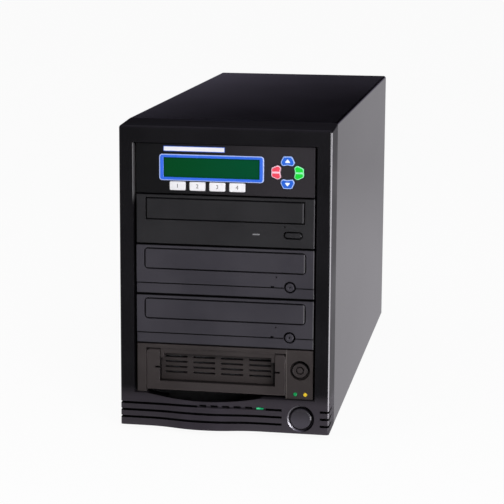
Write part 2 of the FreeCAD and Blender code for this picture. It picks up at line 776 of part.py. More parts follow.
def device_holes(bay):
    """Bores for the side screws of one bay, right across the device."""
    reach = d.drive_width / 2 + d.steel_gauge + PAST
    spots = list(device_screw_spots())[2 * bay:2 * bay + 2]
    return [screw_hole("X", (-reach, y, z), 2 * reach) for y, z in spots]


def drive_cage():
    outer = d.drive_width / 2 + d.steel_gauge
    outline = arch(outer, d.drive_width / 2, floor_top, bay_floor(BAYS) + d.steel_gauge, d.steel_gauge)
    shell = prism("XZ", outline, cover_front + d.steel_gauge, d.cage_length)
    holes = [hole for bay in range(BAYS) for hole in device_holes(bay)]
    subpart("drive_cage", cut(shell, *holes))


def drive_screws():
    face = d.drive_width / 2 + d.steel_gauge
    subpart("drive_screws", group(screw("X", side, (side * face, y, z))
                                  for y, z in device_screw_spots() for side in (-1, 1)))


# Front bezel

def bow_depth_at(level):
    return d.bow_depth + (d.bow_crown - d.bow_depth) * (level - base) / d.bow_height


def bow_edges(depth, plane, level):
    """Line of the bow in plan: an arc out of the plane, an arc over the crown and an arc back."""
    middle, reach, rise = float(d.bow_centre), float(d.bow_width) / 2, float(depth)
    radius = (reach * reach + rise * rise) / (4 * rise)
    turn = math.asin(reach / 2 / radius) / 2
    bulge = radius * (1 - math.cos(turn))
    inset = reach - radius * math.sin(turn)

    def spot(x, out):
        return FreeCAD.Vector(middle + x, float(plane) - out, float(level))
    knots = ((-reach, 0), (-inset, bulge), (-reach / 2, rise / 2), (0, rise),
             (reach / 2, rise / 2), (inset, bulge), (reach, 0))
    spots = [spot(*knot) for knot in knots]
    return [Part.Arc(*spots[k:k + 3]).toShape() for k in (0, 2, 4)]


def closed_wire(edges, corners):
    """Edges in a row, closed through the given corners."""
    first = edges[0].Vertexes[0].Point
    last = edges[-1].Vertexes[-1].Point
    path = [last] + list(corners) + [first]
    return Part.Wire(edges + [Part.makeLine(a, b) for a, b in zip(path, path[1:])])


def chin_bow():
    wires = []
    for level in (base, base + d.bow_height):
        edges = bow_edges(bow_depth_at(level), front, level)
        back = float(front + d.bezel_wall)
        corners = [FreeCAD.Vector(float(x), back, float(level))
                   for x in reversed(around(d.bow_centre, d.bow_width))]
        wires.append(closed_wire(edges, corners))
    return solid_of(Part.makeLoft(wires, True, True))


def groove_level(k):
    return base + d.groove_low + k * d.groove_pitch


def groove_core(k):
    """What is left of the chin inside a groove."""
    level = groove_level(k)
    low = level - d.groove_height - PAST
    plane = front + d.groove_depth
    edges = bow_edges(bow_depth_at(level), plane, low)
    side = float(half - d.groove_depth)
    ways = ((side, plane), (side, cover_front), (-side, cover_front), (-side, plane))
    wire = closed_wire(edges, [FreeCAD.Vector(x, float(y), float(low)) for x, y in ways])
    return solid_of(Part.Face(wire).extrude(FreeCAD.Vector(0, 0, 2 * float(level - low))))


def groove(k):
    depth = (front - d.bow_depth - PAST, front + d.groove_reach)
    height = around(groove_level(k), d.groove_height)
    spans = ((-half - PAST, power_x - d.groove_gap), (power_x + d.groove_gap, half + PAST))
    return cut(fuse(*(block(span, depth, height) for span in spans)), groove_core(k))


def scoop():
    radius = (d.scoop_width * d.scoop_width / 4 + d.scoop_depth * d.scoop_depth) / (2 * d.scoop_depth)
    depth = beyond(front - d.bow_depth, front + d.bezel_wall + d.rim_depth)
    start = depth[0]
    middle = bay_floor(0) + radius - d.scoop_depth
    drum = rod("Y", radius, (d.bow_centre, start, middle), depth[1] - start)
    limit = block(around(d.bow_centre, d.scoop_width), depth,
                  (bay_floor(0) - d.scoop_depth - PAST, bay_floor(0)))
    return common(drum, limit)


def clip_span(k):
    return around(floor_top + d.clip_low + k * d.clip_pitch, d.clip_width)


def clip(side, k):
    """Arm inside the wall of the bezel, whose nose hooks outwards behind the front sheet."""
    wall = side * (half - d.bezel_wall)
    arm_in = wall - side * d.clip_thick
    nose = wall + side * d.clip_hook
    hook_front = cover_front + d.steel_gauge + d.clip_play
    arm = block(ordered(arm_in, wall), (cover_front - d.clip_length, hook_front), clip_span(k))
    hook = block(ordered(arm_in, nose), run(hook_front, d.clip_thick), clip_span(k))
    return fuse(arm, hook)


def clip_slot(side, k):
    wall = side * (half - d.bezel_wall)
    edges = (wall + side * d.clip_play, wall - side * (d.clip_thick + d.clip_hook + d.clip_play))
    low, high = clip_span(k)
    return block(ordered(*edges), beyond(cover_front, cover_front + d.steel_gauge),
                 (low - d.clip_play, high + d.clip_play))


def ordered(first, second):
    return (first, second) if float(first) < float(second) else (second, first)


def power_spot(y):
    return power_x, y, base + d.power_rise


def lamp_slots():
    level = groove_level(GROOVES - 1) + d.lamp_rise
    return [block(around(d.lamp_first + k * d.lamp_pitch, d.lamp_width),
                  (front - d.bow_depth - PAST, front + d.bezel_wall), around(level, d.lamp_height))
            for k in range(LAMPS)]


def front_bezel():
    outline = ((front, base), (cover_front, base), (cover_front, top), (front, top - d.bezel_drop))
    at_front = lies_at("Y", front)
    at_back = lies_at("Y", cover_front)
    at_foot = lies_at("Z", base)
    at_side = lies_at("X", -half, half)
    ends = (at_front, at_back, at_foot)
    shell = rounded(prism("YZ", outline, -half, d.case_width), d.edge_round,
                    lambda edge: at_side(edge) and not any(test(edge) for test in ends))
    shell = rounded(shell, d.front_round, lambda edge: at_front(edge) and not at_foot(edge))
    inner = half - d.bezel_wall
    hollow = block((-inner, inner), (front + d.bezel_wall, cover_front + PAST),
                   (base + d.bezel_wall, top - d.bezel_drop - d.bezel_wall))
    rim_back = front + d.bezel_wall + d.rim_depth
    rim = block(around(0, d.window_width + 2 * d.bezel_wall), (front + d.bezel_wall, rim_back),
                (bay_floor(0) - d.bezel_wall, bay_floor(BAYS) + d.bezel_wall))
    guide_bore = d.power_radius + d.power_play
    guide = peg(DISC_SIDES, "Y", guide_bore + d.guide_wall, power_spot(front + d.bezel_wall), d.guide_length)
    clips = [clip(side, k) for side in (-1, 1) for k in range(CLIPS)]
    moulding = fuse(cut(fuse(shell, chin_bow()), hollow), rim, guide, *clips)
    window = block(around(0, d.window_width), beyond(front, rim_back), (bay_floor(0), bay_floor(BAYS)))
    dish = cone("Y", d.power_ring, guide_bore, power_spot(front), d.power_ring_depth)
    bore = rod("Y", guide_bore, power_spot(front - PAST), d.bezel_wall + d.guide_length + 2 * PAST)
    grooves = [groove(k) for k in range(GROOVES)]
    subpart("front_bezel", cut(moulding, window, scoop(), dish, bore, *grooves, *lamp_slots()))


def power_button():
    stem_length = d.bezel_wall + d.guide_length - d.power_length - d.power_travel - d.power_play
    cap = peg(WELL_SIDES, "Y", d.power_radius, power_spot(front - d.power_proud),
              d.power_proud + d.power_length)
    stem = peg(ROD_SIDES, "Y", d.power_stem, power_spot(front + d.power_length), stem_length)
    subpart("power_button", fuse(cap, stem))


def power_switch():
    start = front + d.bezel_wall + d.guide_length
    x, y, z = power_spot(start)
    wide = 2 * (d.power_radius + d.power_play)
    plate = block(around(x, wide), run(y, d.switch_plate), around(z, wide))
    body = block(around(x, d.switch_size), (y + d.switch_plate, cover_front), around(z, d.switch_size))
    subpart("power_switch", fuse(plate, body))


# Control panel

panel_low = face_low(PANEL_BAY)


def lcd_span(grow_x, grow_z):
    return ((d.lcd_left - grow_x, d.lcd_left + d.lcd_width + grow_x),
            (panel_low + d.lcd_low - grow_z, panel_low + d.lcd_low + d.lcd_height + grow_z))


def key_span(k, grow):
    left = d.key_first + k * d.key_pitch
    low = panel_low + d.key_low
    return (left - grow, left + d.key_width + grow), (low - grow, low + d.key_height + grow)


def rectangle(x, z):
    return (x[0], z[0]), (x[1], z[0]), (x[1], z[1]), (x[0], z[1])


def cut_rectangle(x, z, corner):
    """Rectangle with its corners cut off."""
    return ((x[0] + corner, z[0]), (x[1] - corner, z[0]), (x[1], z[0] + corner), (x[1], z[1] - corner),
            (x[1] - corner, z[1]), (x[0] + corner, z[1]), (x[0], z[1] - corner), (x[0], z[0] + corner))


NAV_WAYS = {
    "up": lambda u, v: (u, v),
    "down": lambda u, v: (u, -v),
    "left": lambda u, v: (-v, u),
    "right": lambda u, v: (v, u),
}


def nav_outline(way, grow):
    """Arrow key: narrow outside, widest at its knee, with a hollow inner edge."""
    outer, inner = d.nav_outer + grow, d.nav_inner - grow
    narrow, wide, foot = d.nav_narrow + grow, d.nav_wide + grow, d.nav_foot + grow
    right = ((narrow, outer), (wide, d.nav_knee), (foot, inner))
    left = tuple((-u, v) for u, v in reversed(right))
    points = right + ((0, inner + d.nav_dip),) + left
    turned_points = (NAV_WAYS[way](u, v) for u, v in points)
    return tuple((d.nav_across + x, panel_low + d.nav_rise + z) for x, z in turned_points)


def key_cap(label, outline, flange):
    cap_front = face_front - d.key_proud
    flange_front = panel_back + d.key_gap
    cap = prism("XZ", outline, cap_front, flange_front - cap_front)
    cap = bevelled(cap, d.key_edge, lies_at("Y", cap_front))
    subpart(label, fuse(cap, prism("XZ", flange, flange_front, d.key_flange_thick)))


def keys():
    for k in range(KEYS):
        outline = cut_rectangle(*key_span(k, 0), d.key_corner)
        key_cap(f"key_{k + 1}", outline, rectangle(*key_span(k, d.key_flange)))
    for way in NAV_WAYS:
        key_cap(f"nav_{way}", nav_outline(way, 0), nav_outline(way, d.key_flange))


def post_spots():
    for x in (-1, 1):
        for z in (d.board_inset + d.post_inset, face_height - d.board_inset - d.post_inset):
            yield x * (d.board_width / 2 - d.post_inset), panel_low + z


def device_front(bay, back):
    """Plain plate of a device front, with its front edges bevelled."""
    plate = block(around(0, d.face_width), (face_front, back), run(face_low(bay), face_height))
    return bevelled(plate, d.face_bevel, lies_at("Y", face_front))


def panel_face():
    plate = device_front(PANEL_BAY, panel_back)
    posts = [block(around(x, d.post_size), run(panel_back, d.board_gap), around(z, d.post_size))
             for x, z in post_spots()]
    through = (face_front - PAST, d.panel_thick + 2 * PAST)
    outlines = [rectangle(*key_span(k, d.key_play)) for k in range(KEYS)]
    outlines += [nav_outline(way, d.key_play) for way in NAV_WAYS]
    holes = [prism("XZ", outline, *through) for outline in outlines]
    window_x, window_z = lcd_span(0, 0)
    window = block(window_x, beyond(face_front, panel_back), window_z)
    subpart("panel_face", cut(fuse(plate, *posts), window, *holes))


def lcd_surround():
    outer_x, outer_z = lcd_span(d.surround_side, d.surround_edge)
    inner_x, inner_z = lcd_span(0, 0)
    proud = face_front - d.surround_thick
    ring = rounded(block(outer_x, (proud, face_front), outer_z), d.surround_corner, runs_along("Y"))
    subpart("lcd_surround", cut(ring, block(inner_x, beyond(proud, face_front), inner_z)))


def lcd_glass():
    x, z = lcd_span(0, 0)
    subpart("lcd_glass", block(x, (face_front + d.lcd_recess, panel_back), z))


def lcd_module():
    x, z = lcd_span(d.lcd_margin, d.lcd_margin)
    subpart("lcd_module", block(x, run(panel_back, d.board_gap), z))


def switch_middles():
    for k in range(KEYS):
        x, z = key_span(k, 0)
        yield (x[0] + x[1]) / 2, (z[0] + z[1]) / 2
    reach = (d.nav_outer + d.nav_inner) / 2
    for way in NAV_WAYS.values():
        x, z = way(0, reach)
        yield d.nav_across + x, panel_low + d.nav_rise + z


def panel_board():
    board_front = panel_back + d.board_gap
    board_back = board_front + d.board_thick
    low = panel_low + d.board_inset
    high = panel_low + face_height - d.board_inset
    board = block(around(0, d.board_width), (board_front, board_back), (low, high))
    pad_front = panel_back + d.key_gap + d.key_flange_thick + d.key_travel + d.key_gap
    pads = [block(around(x, d.switch_pad), (pad_front, board_front), around(z, d.switch_pad))
            for x, z in switch_middles()]
    chips = [block(around(k * d.chip_pitch, d.chip_size), run(board_back, d.chip_thick),
                   around(high - d.chip_drop, d.chip_size))
             for k in (-1, 0, 1)]
    subpart("panel_board", fuse(board, *pads, *chips))


def panel_bracket():
    outer = d.drive_width / 2
    inner = outer - d.steel_gauge
    low = device_low(PANEL_BAY)
    high = low + drive_height - d.bracket_drop
    floor = low + d.steel_gauge
    outline = ((-outer, high), (-outer, low), (outer, low), (outer, high),
               (inner, high), (inner, floor), (-inner, floor), (-inner, high))
    shell = prism("XZ", outline, panel_back, d.bracket_length)
    subpart("panel_bracket", cut(shell, *device_holes(PANEL_BAY)))


# Optical drives

def drive_casing(name, bay):
    low = device_low(bay)
    wall = d.drive_gauge
    outer = block(around(0, d.drive_width), (face_back, device_rear), run(low, drive_height))
    inner = block(around(0, d.drive_width - 2 * wall), (face_back - PAST, device_rear - wall),
                  run(low + wall, drive_height - 2 * wall))
    subpart(f"{name}_casing", cut(outer, inner, *device_holes(bay)))


class Loader:
    """Heights and places inside one drive, above which the tray runs."""

    def __init__(self, bay, door_low):
        self.tray_low = door_low + d.tray_rise
        self.low = device_low(bay) + d.drive_gauge
        self.floor = self.low + d.loader_thick
        self.motor_top = self.floor + d.boss_height
        self.middle = face_back + d.disc_setback
        self.rod_level = self.floor + d.rod_rise


def rod_spots(loader):
    for side in (-1, 1):
        yield side * d.rod_across, loader.middle + d.rod_front, loader.rod_level


def loader_frame(name, loader):
    outer = d.drive_width / 2 - d.drive_gauge - d.loader_room
    inner = d.tray_width / 2 - d.rail_lap
    rail_top = loader.tray_low - d.tray_play
    outline = ((-outer, rail_top), (-outer, loader.low), (outer, loader.low), (outer, rail_top),
               (inner, rail_top), (inner, loader.floor), (-inner, loader.floor), (-inner, rail_top))
    channel = prism("XZ", outline, face_back + d.loader_front, d.loader_length)
    boss = peg(DISC_SIDES, "Z", d.boss_radius, (0, loader.middle, loader.floor), d.boss_height)
    rods = []
    for x, y, z in rod_spots(loader):
        rods.append(peg(ROD_SIDES, "Y", d.rod_radius, (x, y, z), d.rod_length))
        for start in (y, y + d.rod_length - d.holder_size):
            rods.append(block(around(x, d.holder_size), run(start, d.holder_size),
                              (loader.floor, z + d.holder_size / 2)))
    slot = block(around(0, 2 * d.slot_half_width),
                 (loader.middle + d.pickup_front, loader.middle + d.slot_back),
                 beyond(loader.low, loader.floor))
    subpart(f"{name}_loader", cut(fuse(channel, boss, *rods), slot))


def spindle(name, loader):
    """Turntable just above its motor, with the nose that centres a disc."""
    table = loader.motor_top + d.table_gap
    nose = table + d.table_thick
    subpart(f"{name}_spindle", fuse(
        peg(DISC_SIDES, "Z", d.table_radius, (0, loader.middle, table), d.table_thick),
        peg(DISC_SIDES, "Z", d.nose_radius, (0, loader.middle, nose), d.nose_height)))


def pickup(name, loader):
    start = loader.middle + d.pickup_front
    sled = block(around(0, d.pickup_width), run(start, d.pickup_length),
                 around(loader.rod_level, d.pickup_height))
    lens_spot = (0, start + d.pickup_length / 2, loader.rod_level + d.pickup_height / 2)
    lens = peg(ROD_SIDES, "Z", d.lens_radius, lens_spot, d.lens_height)
    bore = d.rod_radius + d.running_fit
    length = beyond(start, start + d.pickup_length)
    forks = [block(around(x, 2 * bore), length, (z - d.pickup_height, z + bore))
             for x, y, z in rod_spots(loader)]
    subpart(f"{name}_pickup", cut(fuse(sled, lens), *forks))


def tray(name, loader):
    high = loader.tray_low + d.tray_thick
    plate = block(around(0, d.tray_width), run(face_back, d.tray_length), (loader.tray_low, high))
    middle = (0, loader.middle)
    wells = [peg(WELL_SIDES, "Z", radius, (*middle, high - depth), depth + PAST)
             for radius, depth in ((d.disc_well, d.disc_well_depth), (d.small_well, d.small_well_depth))]
    slot = block(around(0, 2 * d.slot_half_width),
                 (loader.middle - d.slot_front, loader.middle + d.slot_back),
                 beyond(loader.tray_low, high))
    subpart(f"{name}_tray", cut(plate, *wells, slot))


def tray_door(name, x, z, corner):
    door = block(x, (face_front, face_back), z)
    if corner:
        door = rounded(door, corner, runs_along("Y"))
    else:
        door = bevelled(door, d.face_bevel, lies_at("Y", face_front))
    subpart(f"{name}_tray_door", door)


def widened(span, gap):
    return span[0] - gap, span[1] + gap


def door_opening(x, z, corner):
    gap = d.door_gap
    opening = block(widened(x, gap), beyond(face_front, face_back), widened(z, gap))
    return rounded(opening, corner + gap, runs_along("Y")) if corner else opening


def drive_lamp_span(across, rise):
    return around(across, d.drive_lamp_width), around(rise, d.drive_lamp_height)


def lamp_cut(x, z):
    return block(x, beyond(face_front, face_back), z)


def pinhole(across, rise):
    return peg(SCREW_SIDES, "Y", d.pin_radius, (across, face_front - PAST, rise), d.face_thick + 2 * PAST)


def drive_mechanism(name, bay, door_low):
    loader = Loader(bay, door_low)
    drive_casing(name, bay)
    loader_frame(name, loader)
    spindle(name, loader)
    pickup(name, loader)
    tray(name, loader)


def pill(x, y, z, grow):
    """Flat block with round ends."""
    solid = block(widened(x, grow), y, widened(z, grow))
    return rounded(solid, d.reader_button_round + grow, runs_along("Y"))


def reader():
    low = face_low(READER_BAY)
    door_high = low + face_height - d.reader_door_drop
    door_low = door_high - d.reader_door_height
    door_x, door_z = around(0, d.reader_door_width), (door_low, door_high)
    button_x = around(d.reader_button_across, d.reader_button_width)
    button_z = around(low + d.reader_button_rise, d.reader_button_height)
    drive_mechanism("reader", READER_BAY, door_low)
    tray_door("reader", door_x, door_z, None)
    subpart("reader_face", cut(
        device_front(READER_BAY, face_back), door_opening(door_x, door_z, None),
        pill(button_x, beyond(face_front, face_back), button_z, d.eject_play),
        pinhole(d.reader_pin_across, door_low - d.reader_pin_drop),
        lamp_cut(*drive_lamp_span(d.reader_lamp_across, low + d.reader_button_rise))))
    flange_front = face_back + d.eject_play
    cap = pill(button_x, (face_front - d.eject_proud, flange_front), button_z, 0)
    flange = block(widened(button_x, d.eject_flange), run(flange_front, d.eject_flange),
                   widened(button_z, d.eject_flange))
    subpart("reader_eject_button", fuse(cap, flange))


def writer(name, bay):
    low = face_low(bay)
    high = low + face_height
    door_high = high - d.writer_door_drop
    door_low = door_high - d.writer_door_height
    door_x, door_z = around(0, d.writer_door_width), (door_low, door_high)
    drive_mechanism(name, bay, door_low)
    tray_door(name, door_x, door_z, d.writer_door_corner)
    step = low + d.writer_step_rise
    stepped = face_front + d.writer_step_depth
    outline = ((face_front, step), (face_front, high), (face_back, high), (face_back, low),
               (stepped, low), (stepped, step))
    plate = prism("YZ", outline, -d.face_width / 2, d.face_width)
    at_top, at_front = lies_at("Z", high), lies_at("Y", face_front)
    plate = bevelled(plate, d.face_bevel, lambda edge: at_top(edge) and at_front(edge))
    x, z = d.writer_button_across, low + d.writer_button_rise
    hole = peg(DISC_SIDES, "Y", d.writer_button_radius + d.eject_play, (x, face_front - PAST, z),
               d.face_thick + 2 * PAST)
    subpart(f"{name}_face", cut(
        plate, door_opening(door_x, door_z, d.writer_door_corner), hole,
        pinhole(d.writer_pin_across, door_low - d.writer_pin_drop),
        lamp_cut(*drive_lamp_span(d.writer_lamp_across, z))))
    flange_front = face_back + d.eject_play
    cap_front = face_front - d.eject_proud
    cap = peg(DISC_SIDES, "Y", d.writer_button_radius, (x, cap_front, z), flange_front - cap_front)
    wide = 2 * (d.writer_button_radius + d.eject_flange)
    flange = block(around(x, wide), run(flange_front, d.eject_flange), around(z, wide))
    subpart(f"{name}_eject_button", fuse(cap, flange))


# Hard-disk rack

rack_low = face_low(RACK_BAY)
opening_top = rack_low + face_height - d.rack_brow
carrier_x = (d.rack_left + d.carrier_play, d.rack_right - d.carrier_play)
carrier_low = device_low(RACK_BAY) + d.rack_wall + d.carrier_play
carrier_top = opening_top - d.carrier_play
plate_front = face_front + d.handle_thick + d.handle_gap
pivot_y = face_front + d.handle_thick / 2
pivot_z = carrier_top - d.handle_thick / 2


def lock_spot(y):
    return d.lock_across, y, rack_low + d.lock_rise


def rack_lamp_rods():
    length = d.rack_fascia + d.rack_lamp_proud
    spots = [(d.rack_lamp_across + k * d.rack_lamp_pitch, face_front - d.rack_lamp_proud,
              rack_low + d.rack_lamp_rise) for k in range(2)]
    return [peg(ROD_SIDES, "Y", d.rack_lamp_radius, spot, length) for spot in spots]


def rack_frame():
    fascia_back = face_front + d.rack_fascia
    rear = device_rear
    low = device_low(RACK_BAY)
    high = low + drive_height
    wall = d.rack_wall
    fascia = device_front(RACK_BAY, fascia_back)
    body = block(around(0, d.drive_width), (fascia_back, rear), (low, high))
    across = (d.rack_left, d.rack_right)
    mouth = block(across, (face_front - PAST, fascia_back), (rack_low - PAST, opening_top))
    bay = block(across, (fascia_back - PAST, rear - wall), (low + wall, opening_top))
    cell = block((d.rack_right + wall, d.drive_width / 2 - wall), (fascia_back, rear - wall),
                 (low + wall, high - wall))
    ring = rod("Y", d.lock_ring, lock_spot(face_front - PAST), d.lock_ring_depth + PAST)
    bore = rod("Y", d.lock_radius + d.running_fit, lock_spot(face_front - PAST), d.rack_fascia + 2 * PAST)
    subpart("rack_frame", cut(fuse(fascia, body), mouth, bay, cell, ring, bore,
                              *rack_lamp_rods(), *rack_holes()))


def rack_holes():
    """Blind bores for the side screws, because the carrier fills the middle."""
    depth = d.drive_width / 2 - d.screw_length
    spots = list(device_screw_spots())[2 * RACK_BAY:2 * RACK_BAY + 2]
    return [screw_hole("X", (x, y, z), d.screw_length + PAST)
            for y, z in spots for x in (-d.drive_width / 2 - PAST, depth)]


def trunnion(side):
    """Lug beside a handle arm, with the pin that the arm turns on."""
    inner = d.handle_left if side < 0 else d.handle_right
    face = inner - side * d.carrier_play
    lug = block(ordered(face, face - side * d.lug_thick), (face_front + d.handle_gap, plate_front),
                (pivot_z - d.handle_thick / 2, carrier_top))
    pin_x = ordered(face, face + side * d.trunnion_length)[0]
    return fuse(lug, rod("X", d.trunnion_radius, (pin_x, pivot_y, pivot_z), d.trunnion_length))


def vent_slots():
    rows = [rack_low + d.vent_low + k * d.vent_rows for k in range(4)]
    columns = [d.vent_first + k * d.vent_pitch for k in range(4)]
    depth = beyond(plate_front, plate_front + d.vent_plate)
    return [block(run(left, d.vent_width), depth, around(level, d.vent_height))
            for level in rows for left in columns]


def rack_carrier():
    wall = d.carrier_wall
    rear = face_front + d.carrier_length
    box = block(carrier_x, (plate_front, rear), (carrier_low, carrier_top))
    inside = block((carrier_x[0] + wall, carrier_x[1] - wall), (plate_front + d.vent_plate, rear - wall),
                   (carrier_low + wall, carrier_top + PAST))
    brow = block((d.handle_left + d.carrier_play, d.handle_right - d.carrier_play),
                 (face_front + d.handle_gap, plate_front), (pivot_z, carrier_top))
    subpart("rack_carrier", cut(fuse(box, brow, trunnion(-1), trunnion(1)), inside, *vent_slots()))


def rack_handle():
    left, right = carrier_x
    low = rack_low + d.handle_low
    bar = low + d.handle_bar
    high = carrier_top
    cut_off = d.handle_chamfer
    outline = ((left, low), (right, low), (right, high - cut_off), (right - cut_off, high),
               (d.handle_right, high), (d.handle_right, bar), (d.handle_left, bar), (d.handle_left, high),
               (left + cut_off, high), (left, high - cut_off))
    flat = prism("XZ", outline, face_front, d.handle_thick)
    side_view = fuse(block((left, right), run(face_front, d.handle_thick), (low, pivot_z)),
                     rod("X", d.handle_thick / 2, (left, pivot_y, pivot_z), right - left))
    bore = d.trunnion_radius + d.running_fit
    bores = [rod("X", bore, (start, pivot_y, pivot_z), d.trunnion_length + PAST)
             for start in (d.handle_left - d.trunnion_length, d.handle_right - PAST)]
    level = around((bar + pivot_z) / 2, d.handle_notch_height)
    notch_depth = (face_front - PAST, face_front + d.handle_notch)
    notches = [block(ordered(edge, edge + side * d.handle_notch), notch_depth, level)
               for edge, side in ((d.handle_left, -1), (d.handle_right, 1))]
    subpart("rack_handle", cut(common(flat, side_view), *bores, *notches))


def rack_lock():
    """Barrel with a ring slot for a tubular key, and the cam at its back that bars the carrier."""
    barrel = peg(WELL_SIDES, "Y", d.lock_radius, lock_spot(face_front), d.lock_length)
    x, y, z = lock_spot(face_front + d.lock_length)
    cam = block(around(x, d.lock_cam_width), run(y, d.lock_cam_thick),
                (z - d.lock_cam_reach, z + d.lock_cam_width / 2))
    ring = cut(peg(DISC_SIDES, "Y", d.key_ring, lock_spot(face_front - PAST), d.key_depth + PAST),
               peg(DISC_SIDES, "Y", d.key_core, lock_spot(face_front - 2 * PAST), d.key_depth + 3 * PAST))
    notch = block(around(x, d.key_core / 2), (face_front - PAST, face_front + d.key_depth),
                  (z + d.key_core, z + d.key_ring + d.key_core / 2))
    subpart("rack_lock", cut(fuse(barrel, cam), ring, notch))


def hard_disk():
    middle = (carrier_x[0] + carrier_x[1]) / 2
    start = plate_front + d.vent_plate + d.disk_gap
    low = carrier_low + d.carrier_wall
    high = low + d.disk_height
    inset = d.disk_lid_inset
    casting = block(around(middle, d.disk_width), run(start, d.disk_length), (low, high - d.disk_lid))
    lid = block(around(middle, d.disk_width - 2 * inset), run(start + inset, d.disk_length - 2 * inset),
                (high - d.disk_lid, high))
    subpart("hard_disk", fuse(casting, bevelled(lid, inset, runs_along("Z"))))


def indicator_lamps():
    core = groove_core(GROOVES - 1)
    lenses = [common(slot, core) for slot in lamp_slots()]
    spots = [(d.reader_lamp_across, face_low(READER_BAY) + d.reader_button_rise)]
    for bay in (WRITER_1_BAY, WRITER_2_BAY):
        spots.append((d.writer_lamp_across, face_low(bay) + d.writer_button_rise))
    lamps = []
    for across, rise in spots:
        x, z = drive_lamp_span(across, rise)
        lamps.append(block(x, (face_front + d.writer_step_depth, face_back), z))
    subpart("indicator_lamps", group(lenses + lamps + rack_lamp_rods()))


# Power supply, fans and leads

def psu_spot(y):
    return psu_fan_x, y, psu_middle


def psu_case():
    start = psu_rear - d.psu_length
    wall = d.steel_gauge
    box = block((-psu_half, psu_half), (start, psu_rear), run(floor_top, d.psu_height))
    inside = block((wall - psu_half, psu_half - wall), (start + wall, psu_rear - wall),
                   run(floor_top + wall, d.psu_height - 2 * wall))
    body_x, body_z = inlet_body()
    window = block(widened(body_x, d.inlet_play), beyond(psu_rear - wall, psu_rear),
                   widened(body_z, d.inlet_play))
    holes = [blind_hole(x, z) for x, z in psu_screw_spots()]
    fan_grille = grille(psu_fan_x, psu_middle, psu_rear - wall, wall)
    subpart("psu_case", cut(cut(box, inside), fan_grille, window, *holes))


def rotor(label, at):
    """Fan rotor whose hub faces the back; every blade is a plate set at an angle and cut to a drum."""
    x, y, z = at
    hub = peg(DISC_SIDES, "Y", d.fan_hub, at, d.hub_length)
    blades = []
    for k in range(BLADES):
        blade = doc.addObject("Part::Box", "blade")
        bind(blade, "Length", d.blade_chord)
        bind(blade, "Width", d.blade_thick)
        bind(blade, "Height", d.fan_tip + PAST)
        set_back = FreeCAD.Rotation(FreeCAD.Vector(0, 0, 1), float(d.blade_pitch))
        spin = FreeCAD.Rotation(FreeCAD.Vector(0, 1, 0), 360 * k / BLADES)
        shift = FreeCAD.Vector(-float(d.blade_chord) / 2, -float(d.blade_thick) / 2, 0)
        middle = FreeCAD.Vector(float(x), float(y + d.hub_length / 2), float(z))
        blade.Placement = FreeCAD.Placement(middle, spin) * FreeCAD.Placement(FreeCAD.Vector(), set_back) \
            * FreeCAD.Placement(shift, FreeCAD.Rotation())
        blades.append(blade)
    drum = peg(WELL_SIDES, "Y", d.fan_tip, at, d.hub_length)
    subpart(label, fuse(hub, common(fuse(*blades), drum)))


def fans():
    back = psu_rear - d.steel_gauge - d.hub_gap - d.hub_length
    rotor("psu_fan", psu_spot(back))
    rotor("case_fan_rotor", (0, psu_rear - d.spider_thick - d.hub_gap - d.hub_length, case_fan_z))


def case_fan_frame():
    start = psu_rear - d.fan_depth
    middle = (0, case_fan_z)
    box = block(around(middle[0], d.fan_size), (start, psu_rear), around(middle[1], d.fan_size))
    box = bevelled(box, d.spider_width, runs_along("Y"))
    duct = peg(WELL_SIDES, "Y", d.fan_duct, (middle[0], start - PAST, middle[1]), d.fan_depth + 2 * PAST)
    strut_y = (psu_rear - d.spider_thick, psu_rear)
    span = 2 * d.fan_duct + d.spider_thick
    struts = [block(around(middle[0], span), strut_y, around(middle[1], d.spider_width)),
              block(around(middle[0], d.spider_width), strut_y, around(middle[1], span))]
    bearing = peg(DISC_SIDES, "Y", d.fan_hub, (middle[0], strut_y[0], middle[1]), d.spider_thick)
    holes = [blind_hole(x, z) for x, z in fan_screw_spots()]
    subpart("case_fan_frame", cut(fuse(cut(box, duct), *struts, bearing), *holes))


def inlet_body():
    return (around(inlet_x, d.inlet_width - 2 * d.inlet_rim),
            around(psu_middle, d.inlet_height - 2 * d.inlet_rim))


def rocker_spot():
    return inlet_x, psu_rear + d.inlet_flange - d.rocker_sink, psu_middle + d.rocker_rise


def mains_inlet():
    body_x, body_z = inlet_body()
    outer = psu_rear + d.inlet_flange
    flange = block(widened(body_x, d.inlet_rim), (psu_rear, outer), widened(body_z, d.inlet_rim))
    body = block(body_x, (psu_rear - d.inlet_depth, psu_rear), body_z)
    middle = psu_middle - d.socket_drop
    x, z = around(inlet_x, d.socket_width), around(middle, d.socket_height)
    cut_off = d.socket_chamfer
    outline = ((x[0], z[0] + cut_off), (x[0] + cut_off, z[0]), (x[1] - cut_off, z[0]),
               (x[1], z[0] + cut_off), (x[1], z[1]), (x[0], z[1]))
    hollow = prism("XZ", outline, outer - d.socket_depth, d.socket_depth + PAST)
    root_y = outer - d.socket_depth - PAST
    contacts = []
    for k in (-1, 0, 1):
        level = middle + (d.contact_step if k == 0 else -d.contact_step)
        contacts.append(block(around(inlet_x + k * d.contact_pitch, d.contact_width),
                              (root_y, root_y + PAST + d.contact_length), around(level, d.contact_height)))
    px, py, pz = rocker_spot()
    well_reach = d.rocker_width / 2 + d.rocker_play
    well = rod("X", d.rocker_radius + d.rocker_play, (px - well_reach, py, pz), 2 * well_reach)
    pin_reach = well_reach + d.rocker_pin
    pivots = rod("X", d.trunnion_radius + d.running_fit, (px - pin_reach, py, pz), 2 * pin_reach)
    subpart("mains_inlet", fuse(cut(fuse(flange, body), hollow, well, pivots), *contacts))


